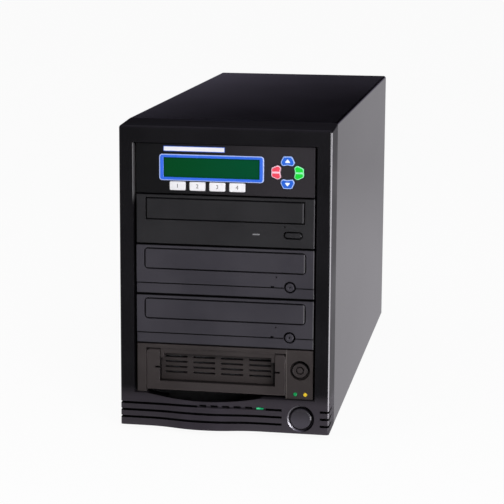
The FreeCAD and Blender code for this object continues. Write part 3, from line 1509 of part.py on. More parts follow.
def mains_rocker():
    """Drum on two trunnions whose front is cut to two flats, resting with its foot pressed in."""
    px, py, pz = rocker_spot()
    width = d.rocker_width
    reach = d.rocker_radius + PAST
    face = d.rocker_sink + d.rocker_proud

    def tilted(outline):
        turn, lean = cosine(d.rocker_tilt), sine(d.rocker_tilt)
        return tuple((py + y * turn + z * lean, pz + z * turn - y * lean) for y, z in outline)
    front_outline = ((face - d.rocker_dish, 0), (face, reach), (face + reach, reach),
                     (face + reach, -reach), (face, -reach))
    back = -d.trunnion_radius - PAST
    back_outline = ((back, reach), (-2 * reach, reach), (-2 * reach, -reach), (back, -reach))
    drum = rod("X", d.rocker_radius, (px - width / 2, py, pz), width)
    waste = [prism("YZ", tilted(outline), px - width, 2 * width)
             for outline in (front_outline, back_outline)]
    pin_reach = width / 2 + d.rocker_pin
    pins = peg(ROD_SIDES, "X", d.trunnion_radius, (px - pin_reach, py, pz), 2 * pin_reach)
    subpart("mains_rocker", fuse(cut(drum, *waste), pins))


def ribbon(x, path, thick):
    """Flat lead whose middle follows level and upright runs joined by quarter bends."""
    bend = float(d.lead_bend)
    left, right = (FreeCAD.Vector(float(edge), 0, 0) for edge in x)
    hinge = FreeCAD.Vector(1, 0, 0)
    spots = [FreeCAD.Vector(0, float(y), float(z)) for y, z in path]

    def section(spot, heading):
        lift = heading.cross(hinge) * (float(thick) / 2)
        corners = [spot + left - lift, spot + right - lift, spot + right + lift, spot + left + lift]
        return Part.Face(Part.makePolygon(corners + corners[:1]))

    pieces = []
    start = spots[0]
    for corner, after in zip(spots[1:], spots[2:]):
        heading = (corner - start).normalize()
        ahead = (after - corner).normalize()
        end = corner - heading * bend
        pieces.append(section(start, heading).extrude(end - start))
        turn = math.copysign(90, heading.cross(ahead).x)
        pieces.append(section(end, heading).revolve(end + ahead * bend, hinge, turn))
        start = corner + ahead * bend
    pieces.append(section(start, ahead).extrude(spots[-1] - start))
    return solid_of(pieces[0].fuse(pieces[1:]).removeSplitter())


def plugs(x, back):
    """Plugs from the back of every device to the lead behind them."""
    return [block(widened(x, d.plug_rim), (device_rear, back), around(plug_level(bay), d.plug_height))
            for bay in (RACK_BAY, WRITER_2_BAY, WRITER_1_BAY, READER_BAY)]


def plug_level(bay):
    return device_low(bay) + d.plug_rise


def wiring_loom():
    """A power lead that climbs behind the devices and a data ribbon that comes down from the board."""
    plug_back = device_rear + d.plug_depth
    power_x = around(-d.power_lead_across, d.power_lead_width)
    power_y = plug_back + d.power_lead_thick / 2
    exit_z = floor_top + d.power_lead_rise
    power = ribbon(power_x, ((psu_rear - d.psu_length, exit_z), (power_y, exit_z),
                             (power_y, plug_level(READER_BAY) + d.plug_height / 2)), d.power_lead_thick)
    board_back = panel_back + d.board_gap + d.board_thick
    header_low = device_low(PANEL_BAY) + d.steel_gauge
    header_back = board_back + d.plug_depth
    data_x = around(d.ribbon_across, d.ribbon_width)
    data_y = plug_back + d.ribbon_thick / 2
    data_z = header_low + d.plug_height / 2
    data = ribbon(data_x, ((header_back, data_z), (data_y, data_z),
                           (data_y, plug_level(RACK_BAY) - d.plug_height / 2)), d.ribbon_thick)
    header = block(widened(data_x, d.plug_rim), (board_back, header_back), run(header_low, d.plug_height))
    plug_row = plugs(power_x, plug_back) + plugs(data_x, plug_back)
    subpart("wiring_loom", group([power, data, header] + plug_row))


def export_all():
    doc.recompute()
    broken = [item.Label for item in doc.Objects if {"Invalid", "Error"} & set(item.State)]
    broken += [item.Label for item in subparts if item.Shape.isNull() or not item.Shape.isValid()]
    if broken:
        raise RuntimeError("failed: " + ", ".join(broken))
    os.makedirs("parts", exist_ok=True)
    for item in subparts:
        item.Shape.exportStep(f"parts/{item.Label}.step")
        print(item.Label, len(item.Shape.Solids), round(item.Shape.Volume))


chassis()
wrap_cover()
rubber_feet()
case_screws()
drive_cage()
drive_screws()
front_bezel()
power_button()
power_switch()
panel_face()
lcd_surround()
lcd_glass()
lcd_module()
keys()
panel_board()
panel_bracket()
reader()
writer("writer_1", WRITER_1_BAY)
writer("writer_2", WRITER_2_BAY)
rack_frame()
rack_carrier()
rack_handle()
rack_lock()
hard_disk()
indicator_lamps()
psu_case()
fans()
case_fan_frame()
mains_inlet()
mains_rocker()
wiring_loom()
export_all()
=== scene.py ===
import json
import math

import bmesh
import bpy
import numpy as np
from mathutils import Matrix, Vector

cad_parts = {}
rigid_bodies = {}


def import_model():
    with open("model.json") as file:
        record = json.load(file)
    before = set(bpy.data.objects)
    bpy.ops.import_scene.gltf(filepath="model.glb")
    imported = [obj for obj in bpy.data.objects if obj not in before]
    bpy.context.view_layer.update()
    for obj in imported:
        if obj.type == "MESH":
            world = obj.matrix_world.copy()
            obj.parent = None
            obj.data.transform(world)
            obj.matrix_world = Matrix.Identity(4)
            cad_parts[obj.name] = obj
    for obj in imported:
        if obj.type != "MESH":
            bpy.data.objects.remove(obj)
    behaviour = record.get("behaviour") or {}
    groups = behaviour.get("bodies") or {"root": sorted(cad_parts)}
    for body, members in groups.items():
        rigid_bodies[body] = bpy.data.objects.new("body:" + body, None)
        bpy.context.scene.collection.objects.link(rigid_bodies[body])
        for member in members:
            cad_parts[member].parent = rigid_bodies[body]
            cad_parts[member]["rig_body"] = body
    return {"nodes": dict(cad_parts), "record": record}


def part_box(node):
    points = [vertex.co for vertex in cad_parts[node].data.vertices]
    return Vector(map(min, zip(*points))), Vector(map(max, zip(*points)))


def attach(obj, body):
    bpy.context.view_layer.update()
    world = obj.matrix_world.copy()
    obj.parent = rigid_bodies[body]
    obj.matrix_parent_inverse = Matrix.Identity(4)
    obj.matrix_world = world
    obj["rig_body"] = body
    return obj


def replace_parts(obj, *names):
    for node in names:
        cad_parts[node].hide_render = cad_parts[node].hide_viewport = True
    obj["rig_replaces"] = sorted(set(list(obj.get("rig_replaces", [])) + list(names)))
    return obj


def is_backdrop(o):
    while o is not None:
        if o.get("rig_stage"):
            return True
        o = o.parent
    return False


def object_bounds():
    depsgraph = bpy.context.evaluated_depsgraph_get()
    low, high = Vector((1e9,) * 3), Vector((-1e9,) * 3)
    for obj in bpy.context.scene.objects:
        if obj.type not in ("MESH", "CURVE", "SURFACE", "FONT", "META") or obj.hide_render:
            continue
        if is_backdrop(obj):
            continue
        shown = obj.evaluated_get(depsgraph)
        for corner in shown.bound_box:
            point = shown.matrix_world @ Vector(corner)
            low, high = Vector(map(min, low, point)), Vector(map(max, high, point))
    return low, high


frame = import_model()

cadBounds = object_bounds()
cadNodes = frame["nodes"]
slotOf = {part["node"]: part["material_slot"] for part in frame["record"]["subparts"]}
mm = 0.001  # shapes are worked out in millimetres, meshes hold metres
print("frame loaded:", len(cadNodes), "nodes")


def boxOf(node):
    return [np.array(corner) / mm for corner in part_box(node)]


def middleOf(node):  # across and up, as seen from the front
    low, high = boxOf(node)
    return (low[0] + high[0]) / 2, (low[2] + high[2]) / 2


def depthsOf(node):  # front and back
    low, high = boxOf(node)
    return low[1], high[1]


def halfWidth(node):
    low, high = boxOf(node)
    return (high[0] - low[0]) / 2


# shader building

def feed(tree, node, inputs):
    for key, value in inputs.items():
        if isinstance(value, bpy.types.NodeSocket):
            tree.links.new(value, node.inputs[key])
        else:
            node.inputs[key].default_value = value


def addNode(tree, kind, inputs=(), **settings):
    node = tree.nodes.new(kind)
    for key, value in settings.items():
        setattr(node, key, value)
    feed(tree, node, dict(inputs))
    return node


def maths(tree, operation, *values):
    return addNode(tree, "ShaderNodeMath", dict(enumerate(values)), operation=operation).outputs[0]


def vectorMaths(tree, operation, *values):
    node = addNode(tree, "ShaderNodeVectorMath", dict(enumerate(values)), operation=operation)
    return node.outputs["Vector"]


def minus(tree, first, second):
    return maths(tree, "SUBTRACT", first, second)


def below(tree, value, limit):
    return maths(tree, "LESS_THAN", value, limit)


def axes(tree, point):
    return addNode(tree, "ShaderNodeSeparateXYZ", {0: point}).outputs


def farFrom(tree, value, middle):
    return maths(tree, "ABSOLUTE", minus(tree, value, middle))


def farOff(tree, point, place):  # the same, axis by axis
    return vectorMaths(tree, "ABSOLUTE", vectorMaths(tree, "SUBTRACT", point, place))


def lengthFrom(tree, point, place):
    away = vectorMaths(tree, "SUBTRACT", point, place)
    return addNode(tree, "ShaderNodeVectorMath", {0: away}, operation="LENGTH").outputs["Value"]


def allOf(tree, mask, *others):
    for other in others:
        mask = maths(tree, "MULTIPLY", mask, other)
    return mask


def between(tree, value, low, high):
    return allOf(tree, maths(tree, "GREATER_THAN", value, low), below(tree, value, high))


def noise(tree, point, scale, detail):
    inputs = {"Vector": point, "Scale": scale, "Detail": detail}
    return addNode(tree, "ShaderNodeTexNoise", inputs).outputs["Fac"]


def ramp(tree, value, low, high, toLow=0.0, toHigh=1.0):
    inputs = {"Value": value, "From Min": low, "From Max": high, "To Min": toLow, "To Max": toHigh}
    node = addNode(tree, "ShaderNodeMapRange", inputs, interpolation_type="SMOOTHSTEP")
    return node.outputs["Result"]


def opaque(colour):
    if isinstance(colour, bpy.types.NodeSocket):
        return colour
    return (*colour, 1.0)


def mixColour(tree, factor, first, second):
    inputs = {0: factor, 6: opaque(first), 7: opaque(second)}
    return addNode(tree, "ShaderNodeMix", inputs, data_type="RGBA").outputs[2]


def startGroup(name, inputs, outputs):
    tree = bpy.data.node_groups.new(name, "ShaderNodeTree")
    for label, kind in inputs.items():
        tree.interface.new_socket(name=label, in_out="INPUT", socket_type="NodeSocket" + kind)
    for label in outputs:
        tree.interface.new_socket(name=label, in_out="OUTPUT", socket_type="NodeSocketFloat")
    return tree, tree.nodes.new("NodeGroupInput").outputs


def closeGroup(tree, values):
    feed(tree, tree.nodes.new("NodeGroupOutput"), values)
    return tree


surfaceSockets = ({"Point": "Vector", "Grain": "Float"}, ("Height", "Patch"))


def makeMouldGrain():  # fine spark-eroded grain, and slow patches where the sheen drifts
    tree, source = startGroup("mouldGrain", *surfaceSockets)
    fine = noise(tree, source["Point"], source["Grain"], 2.0)
    slow = noise(tree, source["Point"], 22.0, 3.0)
    patch = ramp(tree, slow, 0.3, 0.7)
    return closeGroup(tree, {"Height": fine, "Patch": patch})


def makePaintPeel():  # rounded dimples of sprayed paint, and long handled smears
    tree, source = startGroup("paintPeel", *surfaceSockets)
    dimples = noise(tree, source["Point"], source["Grain"], 0.0)
    drawn = vectorMaths(tree, "MULTIPLY", source["Point"], (9.0, 5.0, 14.0))
    patch = ramp(tree, noise(tree, drawn, 1.0, 4.0), 0.3, 0.72)
    return closeGroup(tree, {"Height": dimples, "Patch": patch})


def makeDrawnLines():  # lines left by rolling, long in the sheet's own direction
    tree, source = startGroup("drawnLines", *surfaceSockets)
    drawn = vectorMaths(tree, "MULTIPLY", source["Point"], (1.0, 0.05, 1.0))
    lines = noise(tree, drawn, source["Grain"], 2.0)
    spangle = addNode(tree, "ShaderNodeTexVoronoi", {"Vector": source["Point"], "Scale": 160.0})
    flakes = allOf(tree, spangle.outputs["Distance"], 0.4)
    patch = maths(tree, "MULTIPLY_ADD", lines, 0.6, flakes)
    return closeGroup(tree, {"Height": lines, "Patch": patch})


def makeEdgeRub():  # strong where a point is near two sides of its box at once (used for painted shade at seams), and the same broken up by noise (edge wear)
    inputs = {"Point": "Vector", "Low": "Vector", "High": "Vector", "Width": "Float"}
    tree, source = startGroup("edgeRub", inputs, ("Mask", "Edge"))
    near = [farOff(tree, source["Point"], source[side]) for side in ("Low", "High")]
    near = axes(tree, vectorMaths(tree, "MINIMUM", *near))
    lesser = maths(tree, "MINIMUM", near[0], near[1])
    greater = maths(tree, "MAXIMUM", near[0], near[1])
    second = maths(tree, "MAXIMUM", lesser, maths(tree, "MINIMUM", greater, near[2]))
    close = minus(tree, 1.0, maths(tree, "DIVIDE", second, source["Width"]))
    worn = ramp(tree, noise(tree, source["Point"], 130.0, 4.0), 0.35, 0.75)
    edge = maths(tree, "MAXIMUM", close, 0.0)
    return closeGroup(tree, {"Mask": allOf(tree, edge, worn), "Edge": edge})


def makeSettledDust():  # a thin film on faces that look up, thicker in soft clouds
    tree, source = startGroup("settledDust", {"Point": "Vector"}, ("Mask",))
    normal = addNode(tree, "ShaderNodeNewGeometry").outputs["Normal"]
    clouds = ramp(tree, noise(tree, source["Point"], 30.0, 5.0), 0.35, 0.8, 0.3, 1.0)
    mask = allOf(tree, ramp(tree, axes(tree, normal)["Z"], 0.6, 1.0), clouds)
    return closeGroup(tree, {"Mask": mask})


groups = {"mould": makeMouldGrain(), "peel": makePaintPeel(), "drawn": makeDrawnLines()}
edgeRub = makeEdgeRub()
settledDust = makeSettledDust()


def finish(first, second, rough, grain, depth, metallic=0.0, surface="mould", shine=0.5, **layers):
    # two tones it drifts between, roughness from and to, grains per metre, depth of the grain in mm
    return {"tones": (first, second), "rough": rough, "grain": grain, "depth": depth,
            "metallic": metallic, "surface": surface, "shine": shine, **layers}


# layers, in mm: rub, gap and seam are widths at the edges, rub for wear, gap and seam for painted shade; the
# painted right highlight is a pale line, from and to, inwards from the right; the painted light drift goes to
# another tone along an axis, painting light and shade; coat is a polish from and to a depth, its roughness and
# index
readerBody = finish((0.019, 0.0186, 0.0202), (0.0235, 0.023, 0.025), (0.38, 0.48), 2200.0, 0.015, shine=0.35)
driveBody = finish((0.036, 0.0338, 0.042), (0.044, 0.0412, 0.0505), (0.38, 0.48), 2200.0, 0.015, shine=0.35)
rackBody = finish((0.033, 0.0275, 0.027), (0.0415, 0.0345, 0.034), (0.46, 0.58), 1700.0, 0.028, shine=0.3,
                  rub=0.6)
handleBody = finish((0.034, 0.0282, 0.028), (0.043, 0.0358, 0.0356), (0.38, 0.5), 1700.0, 0.028, shine=0.35,
                    rub=0.8)
# fronts: painted shade along the top and foot, and a painted highlight line inside the right edge
frontEdges = {"gap": 0.8, "lip": (0.0, 0.6, (0.12, 0.116, 0.125))}
finishes = {
    "black_steel": finish((0.0016, 0.0014, 0.0021), (0.0023, 0.002, 0.003), (0.1, 0.12), 420.0, 0.002,
                          surface="peel", rub=1.2, dust=0.001),
    # the bezel: the chin painted paler towards its foot and more so towards the right, as painted sheen; painted
    # shade on the scoop's walls; a painted highlight down the window's left edge
    "bezel_plastic": finish((0.0055, 0.0052, 0.0062), (0.0075, 0.0071, 0.0085), (0.3, 0.4),
                            1900.0, 0.006, shine=0.05, dust=0.001, coat=(-222.3, -221.2, 0.17, 1.56),
                            drift=("Z", 40.0, 28.0, (0.03, 0.026, 0.0322),
                                   ("X", -45.0, 30.0, (0.0375, 0.0326, 0.0403))),
                            shade=((-66.0, -222.6, 27.0), (32.0, -211.0, 33.3), 0.3, (0.0012, 0.0011, 0.0013)),
                            bare=(-76.3, 0.4, 192.0, 243.6, 12.0, (0.14, 0.138, 0.142))),
    # the power cap: painted paler towards its foot, as painted shading of its dome
    "cap_plastic": finish((0.024, 0.022, 0.027), (0.03, 0.027, 0.033), (0.26, 0.32), 1900.0, 0.006,
                          shine=0.8, drift=("Z", 25.0, 13.0, (0.054, 0.049, 0.062))),
    # the control panel: painted paler towards the right, as painted light from that side
    "panel_plastic": finish((0.006, 0.006, 0.0066), (0.008, 0.008, 0.0088), (0.42, 0.52),
                            2400.0, 0.015, shine=0.35, rub=0.5,
                            drift=("X", -60.0, 60.0, (0.026, 0.023, 0.0265))),
    "reader_plastic": readerBody,
    "reader_front": {**readerBody, **frontEdges},
    # doors: painted shade all round the edges, and a painted highlight line inside the right edge
    "reader_door": {**readerBody, "seam": 0.9, "lip": (0.75, 1.4, (0.09, 0.087, 0.094))},
    "drive_plastic": driveBody,
    "drive_front": {**driveBody, **frontEdges},
    # doors: painted shade all round the edges, and a painted highlight line inside the right edge
    "drive_door": {**driveBody, "seam": 0.9, "lip": (0.75, 1.4, (0.11, 0.106, 0.115))},
    # the rack frame: a painted highlight line inside its right edge
    "rack_plastic": {**rackBody, "lip": (21.7, 22.4, (0.085, 0.075, 0.07))},
    "carrier_plastic": {**rackBody, "shade": ((39.0, -212.5, 42.0), (48.0, -210.5, 68.5), 1.2,
                                              (0.005, 0.0042, 0.0042))},
    "lock_plastic": handleBody,
    # the handle: painted shade, darker behind its front on the walls of the recess
    "handle_plastic": {**handleBody, "drift": ("Y", -220.5, -218.2, (0.0085, 0.0071, 0.007))},
    "tray_plastic": finish((0.014, 0.014, 0.015), (0.02, 0.02, 0.0215), (0.42, 0.55), 1800.0, 0.02),
    "loader_plastic": finish((0.042, 0.042, 0.045), (0.06, 0.06, 0.064), (0.45, 0.6), 1800.0, 0.02),
    "fan_plastic": finish((0.015, 0.015, 0.016), (0.023, 0.023, 0.0245), (0.34, 0.46), 1500.0, 0.015),
    "rubber": finish((0.014, 0.014, 0.014), (0.023, 0.0225, 0.022), (0.72, 0.88), 1300.0, 0.03),
    "white_key": finish((0.74, 0.735, 0.76), (0.8, 0.795, 0.815), (0.4, 0.5), 2600.0, 0.01),
    "blue_key": finish((0.014, 0.11, 0.58), (0.02, 0.132, 0.66), (0.34, 0.44), 2600.0, 0.01, shine=0.3),
    "red_key": finish((0.78, 0.05, 0.09), (0.84, 0.07, 0.115), (0.34, 0.44), 2600.0, 0.01),
    "green_key": finish((0.003, 0.6, 0.03), (0.006, 0.68, 0.045), (0.34, 0.44), 2600.0, 0.01, shine=0.3),
    "blue_trim": finish((0.028, 0.13, 0.68), (0.036, 0.15, 0.76), (0.22, 0.3), 1500.0, 0.005),
    "lcd_body": finish((0.02, 0.045, 0.02), (0.03, 0.06, 0.028), (0.5, 0.6), 1800.0, 0.015),
    "lamp_lens": finish((0.001, 0.001, 0.0012), (0.0016, 0.0016, 0.0018), (0.2, 0.28), 900.0, 0.004, shine=0.2),
    "zinc_steel": finish((0.4, 0.405, 0.41), (0.58, 0.585, 0.59), (0.26, 0.42), 1400.0, 0.006, 1.0, "drawn"),
    "bright_steel": finish((0.42, 0.42, 0.43), (0.6, 0.6, 0.61), (0.18, 0.3), 2600.0, 0.004, 1.0, "drawn"),
    # the power ring: painted darker towards the right, as painted shade
    "dark_chrome": finish((0.56, 0.55, 0.58), (0.66, 0.65, 0.68), (0.34, 0.4), 2600.0, 0.002, 1.0, "drawn",
                          drift=("X", 60.0, 70.0, (0.03, 0.03, 0.033))),
    "black_zinc": finish((0.03, 0.03, 0.033), (0.05, 0.05, 0.054), (0.26, 0.38), 2600.0, 0.004, 0.6, "drawn"),
    "cast_aluminium": finish((0.46, 0.47, 0.48), (0.6, 0.61, 0.62), (0.36, 0.52), 1500.0, 0.03, 1.0),
    "cable": finish((0.3, 0.3, 0.31), (0.46, 0.46, 0.47), (0.42, 0.55), 900.0, 0.03, surface="drawn"),
    "circuit_board": finish((0.01, 0.085, 0.035), (0.02, 0.125, 0.052), (0.28, 0.4), 700.0, 0.01),
}
# the tones for gaps, seams and grooves are painted shade; dust and rubbed wear are the surface's own
layerTones = {"gap": (0.001, 0.001, 0.001), "seam": (0.002, 0.002, 0.002), "groove": (0.0008, 0.0008, 0.001),
              "dust": (0.40, 0.38, 0.36), "rub": (2.2, 0.008)}  # rub: the paler tone times this, plus this


def startMaterial(name):
    material = bpy.data.materials.new(name)
    material.use_nodes = True
    tree = material.node_tree
    point = addNode(tree, "ShaderNodeTexCoord").outputs["Object"]
    return material, tree, tree.nodes["Principled BSDF"], point


def grooveMask(tree, point, grooves):  # painted shade: one inside a set of level grooves that stop short of a round button
    across, along, up = axes(tree, point)
    pitch, count = grooves["pitch"] * mm, grooves["count"]
    rise = minus(tree, up, grooves["low"] * mm)
    middle = pitch * (count - 1) * 0.5
    mask = allOf(tree, below(tree, maths(tree, "PINGPONG", rise, pitch * 0.5), grooves["half"] * mm),
                 below(tree, farFrom(tree, rise, middle), middle + pitch * 0.5),
                 maths(tree, "GREATER_THAN", farFrom(tree, across, grooves["middle"] * mm), grooves["clear"] * mm),
                 below(tree, along, grooves["back"] * mm))
    windows = grooves.get("windows")
    if not windows:
        return mask
    # the top groove's painted shade leaves room for a row of small windows, which get painted shade of their own
    first, step = windows["first"] * mm, windows["pitch"] * mm
    wide, tall = windows["half"]
    row = farFrom(tree, across, first + step * (windows["count"] - 1) * 0.5)
    beside = below(tree, row, step * windows["count"] * 0.5)
    high = maths(tree, "GREATER_THAN", rise, pitch * (count - 1.5))
    mask = allOf(tree, mask, minus(tree, 1.0, allOf(tree, high, beside)))
    place = maths(tree, "PINGPONG", minus(tree, across, first), step * 0.5)
    inside = allOf(tree, below(tree, place, wide * mm),
                   below(tree, farFrom(tree, up, windows["rise"] * mm), tall * mm), beside)
    return maths(tree, "MAXIMUM", mask, inside)


def edgeMask(tree, point, box, width, output):
    inputs = {"Point": point, "Low": tuple(box[0] * mm), "High": tuple(box[1] * mm), "Width": width * mm}
    return addNode(tree, "ShaderNodeGroup", inputs, node_tree=edgeRub).outputs[output]


def driftColour(tree, point, colour, drift):  # painted light and shade: another tone further along an axis, which may drift too
    axis, start, end, tone, *further = drift
    if further:
        tone = driftColour(tree, point, tone, further[0])
    return mixColour(tree, ramp(tree, axes(tree, point)[axis], start * mm, end * mm), colour, tone)


def finishLayers(tree, point, look, box, band, spots, grooves):  # masks, and the tones they lay on in turn
    across, _, up = axes(tree, point)
    if band:
        mark = addNode(tree, "ShaderNodeAttribute", attribute_name="mark").outputs["Fac"]
        yield between(tree, mark, band[1], band[2]), band[0]
    for tint, place, reach in spots:
        length = lengthFrom(tree, point, tuple(value * mm for value in place))
        yield below(tree, length, reach * mm), tint
    if "rub" in look:
        gain, lift = layerTones["rub"]
        rubbed = tuple(gain * value + lift for value in look["tones"][1])
        yield edgeMask(tree, point, box, look["rub"], "Mask"), rubbed
    # a painted highlight line just inside the right edge
    if "lip" in look:
        start, end, tone = look["lip"]
        yield between(tree, minus(tree, box[1][0] * mm, across), start * mm, end * mm), tone
    if "bare" in look:  # a painted highlight down a stretch of edge, fading in at its foot
        middle, half, lowest, highest, fade, tone = look["bare"]
        yield allOf(tree, below(tree, farFrom(tree, across, middle * mm), half * mm),
                    ramp(tree, up, lowest * mm, (lowest + fade) * mm), below(tree, up, highest * mm)), tone
    if "shade" in look:  # shadow in a recess: a box, and the width over which it deepens
        lowest, highest, soft, tone = look["shade"]
        middle, half = (np.add(highest, lowest) / 2 * mm, np.subtract(highest, lowest) / 2 * mm)
        spare = axes(tree, vectorMaths(tree, "SUBTRACT", tuple(half), farOff(tree, point, tuple(middle))))
        within = maths(tree, "MINIMUM", spare["X"], spare["Z"])
        yield allOf(tree, ramp(tree, within, 0.0, soft * mm), maths(tree, "GREATER_THAN", spare["Y"], 0.0)), tone
    # painted shade along the top and foot of a front, where the gap to its neighbour falls dark
    if "gap" in look:
        near = maths(tree, "MINIMUM", minus(tree, up, box[0][2] * mm), minus(tree, box[1][2] * mm, up))
        yield ramp(tree, near, 0.5 * look["gap"] * mm, look["gap"] * mm, 1.0, 0.0), layerTones["gap"]
    # painted shade all round a door's edges, where the gap round it falls dark
    if "seam" in look:
        yield ramp(tree, edgeMask(tree, point, box, look["seam"], "Edge"), 0.0, 0.5), layerTones["seam"]
    # painted shade in grooves, under a step and in window slots
    if grooves:
        yield grooveMask(tree, point, grooves), layerTones["groove"]
    if "dust" in look:
        film = addNode(tree, "ShaderNodeGroup", {"Point": point}, node_tree=settledDust).outputs["Mask"]
        yield allOf(tree, film, look["dust"]), layerTones["dust"]


def makeFinish(name, kind, box, band=None, spots=(), grooves=None):
    # band: (colour, from, to) over the piece's own "mark" values; spots: (colour, place, reach) in mm
    look = finishes[kind]
    material, tree, shader, point = startMaterial(name)
    surface = {"Point": point, "Grain": look["grain"]}
    grain = addNode(tree, "ShaderNodeGroup", surface, node_tree=groups[look["surface"]]).outputs
    colour = mixColour(tree, grain["Patch"], *look["tones"])
    # painted light and shade: the tone goes to another along an axis
    if "drift" in look:
        colour = driftColour(tree, point, colour, look["drift"])
    for mask, tone in finishLayers(tree, point, look, box, band, spots, grooves):
        colour = mixColour(tree, mask, colour, tone)
    relief = {"Height": grain["Height"], "Distance": look["depth"] * mm, "Strength": 0.6}
    feed(tree, shader, {"Base Color": colour, "Metallic": look["metallic"], "Specular IOR Level": look["shine"],
                        "Roughness": ramp(tree, grain["Patch"], 0.0, 1.0, *look["rough"]),
                        "Normal": addNode(tree, "ShaderNodeBump", relief).outputs["Normal"]})
    if "coat" in look:  # polished at the front, dull behind
        start, end, smooth, index = look["coat"]
        polish = ramp(tree, axes(tree, point)["Y"], start * mm, end * mm, 1.0, 0.0)
        feed(tree, shader, {"Coat Weight": polish, "Coat Roughness": smooth, "Coat IOR": index})
    return material


# dark green film behind clear plastic, with a faint field of character cells
displayFilm = {"cell": (1.9, 4.1), "line": (0.16, 0.3), "lineTone": (0.001, 0.040, 0.014), "faint": 0.10,
               "tones": ((0.0016, 0.056, 0.014), (0.0014, 0.064, 0.024)), "rough": (0.07, 0.12), "shine": 0.2}


def makeDisplay(name, box):
    material, tree, shader, point = startMaterial(name)
    low, high = box[0] * mm, box[1] * mm
    across, _, up = axes(tree, point)
    gaps = [below(tree, maths(tree, "PINGPONG", minus(tree, value, start), cell * mm), line * mm) for
            value, start, cell, line in zip((across, up), low[::2], displayFilm["cell"], displayFilm["line"])]
    film = mixColour(tree, ramp(tree, across, low[0], high[0]), *displayFilm["tones"])
    gap = maths(tree, "MAXIMUM", *gaps)
    film = mixColour(tree, allOf(tree, gap, displayFilm["faint"]), film, displayFilm["lineTone"])
    haze = ramp(tree, noise(tree, point, 60.0, 3.0), 0.3, 0.7, *displayFilm["rough"])
    feed(tree, shader, {"Base Color": film, "Roughness": haze, "Specular IOR Level": displayFilm["shine"]})
    return material


def makeLens(name, tint, glow, box):  # clear coloured resin: paler in the crown, a small light behind it
    material, tree, shader, point = startMaterial(name)
    length = lengthFrom(tree, point, tuple((box[0] + box[1]) * 0.5 * mm))
    core = ramp(tree, length, 0.0, float(np.abs(box[1] - box[0]).max()) * 0.5 * mm, 1.0, 0.0)
    pale = tuple(min(1.0, value * 1.6 + 0.05) for value in tint)
    feed(tree, shader, {"Base Color": mixColour(tree, core, tint, pale), "Roughness": 0.14,
                        "Emission Color": mixColour(tree, core, (0.0, 0.0, 0.0), tint), "Emission Strength": glow})
    return material


# numpy surfaces

def unit(vectors):
    return vectors / np.linalg.norm(vectors, axis=-1, keepdims=True)


def roundedLoop(corners, radii, steps):
    # each corner of a closed polygon becomes an arc that touches both of its sides
    corners = np.asarray(corners, float)
    back = unit(np.roll(corners, 1, 0) - corners)
    ahead = unit(np.roll(corners, -1, 0) - corners)
    half = 0.5 * np.arccos(np.clip((back * ahead).sum(1), -1.0, 1.0))
    middle = unit(back + ahead)
    radii = np.broadcast_to(np.asarray(radii, float), half.shape)
    centre = corners + middle * (radii / np.sin(half))[:, None]
    touch = (radii / np.tan(half))[:, None]
    start = corners + back * touch - centre
    end = corners + ahead * touch - centre
    first = np.arctan2(start[:, 1], start[:, 0])
    sweep = (np.arctan2(end[:, 1], end[:, 0]) - first + np.pi) % (2 * np.pi) - np.pi
    angle = first[:, None] + sweep[:, None] * np.linspace(0.0, 1.0, steps)
    arcs = centre[:, None] + radii[:, None, None] * np.stack([np.cos(angle), np.sin(angle)], -1)
    return arcs.reshape(-1, 2)


def roundedLine(points, radii, steps):  # an open line: its ends stay, its inner corners become arcs
    points = np.asarray(points, float)
    radii = np.broadcast_to(np.asarray(radii, float), (len(points) - 2,))
    arcs = roundedLoop(points, np.concatenate([[1e-4], radii, [1e-4]]), steps).reshape(len(points), steps, 2)
    return np.concatenate([points[:1], arcs[1:-1].reshape(-1, 2), points[-1:]])


def rectangle(left, low, right, high):
    return np.array([(left, low), (right, low), (right, high), (left, high)], float)


def outlineOf(node, margin=0.0):  # a node's box from the front, moved inwards by the margin
    low, high = boxOf(node)
    return rectangle(low[0] + margin, low[2] + margin, high[0] - margin, high[2] - margin)


def barLoop(middle, half, corner, steps):
    (across, up), (wide, tall) = middle, half
    return roundedLoop(rectangle(across - wide, up - tall, across + wide, up + tall), corner, steps)


def inset(loop, distance):  # an anticlockwise loop moved inwards along its normals
    along = unit(np.roll(loop, -1, 0) - np.roll(loop, 1, 0))
    return loop + distance * np.stack([-along[:, 1], along[:, 0]], 1)


def standing(loop, depth):  # points (x, z) at one depth y
    return np.stack([loop[:, 0], np.full(len(loop), float(depth)), loop[:, 1]], 1)


def capLevels(flange, front, back, edge, flangeDepth=1.0):
    # a flange at the back, and an edge eased in steps of (inset, depth)
    seat = back - flangeDepth
    return [(-flange, back), (-flange, seat), (0.0, seat)] + [(step, front + depth) for step, depth in edge]


def capRings(loop, levels, crown, steps=5):
    # rings follow the loop from back to front, each inset by its level, and then shrink to the middle,
    # where the depth grows by crown times one minus the square of the scale
    rings = [standing(inset(loop, distance), depth) for distance, depth in levels]
    marks = [distance for distance, _ in levels]
    last = inset(loop, levels[-1][0])
    middle = last.mean(0)
    reach = np.linalg.norm(last - middle, axis=1).min()
    for scale in np.linspace(1.0, 0.0, steps + 1)[1:]:
        depth = levels[-1][1] - crown * (1.0 - scale * scale)
        rings.append(standing(middle + (last - middle) * scale, depth))
        marks.append(levels[-1][0] + reach * (1.0 - scale))
    rings.insert(0, standing(np.repeat(middle[None], len(loop), 0), levels[0][1]))
    marks.insert(0, 0.0)
    return np.array(rings), np.array(marks)[:, None]


def lathe(profile, centre, turns):
    # radius r at depth y, carried round an axis along Y: (cx + r cos a, y, cz + r sin a)
    angle = np.linspace(0.0, 2 * np.pi, turns, endpoint=False)
    profile = np.asarray(profile, float)
    across = centre[0] + profile[:, :1] * np.cos(angle)
    up = centre[1] + profile[:, :1] * np.sin(angle)
    return np.stack([across, np.broadcast_to(profile[:, 1:], across.shape), up], -1)


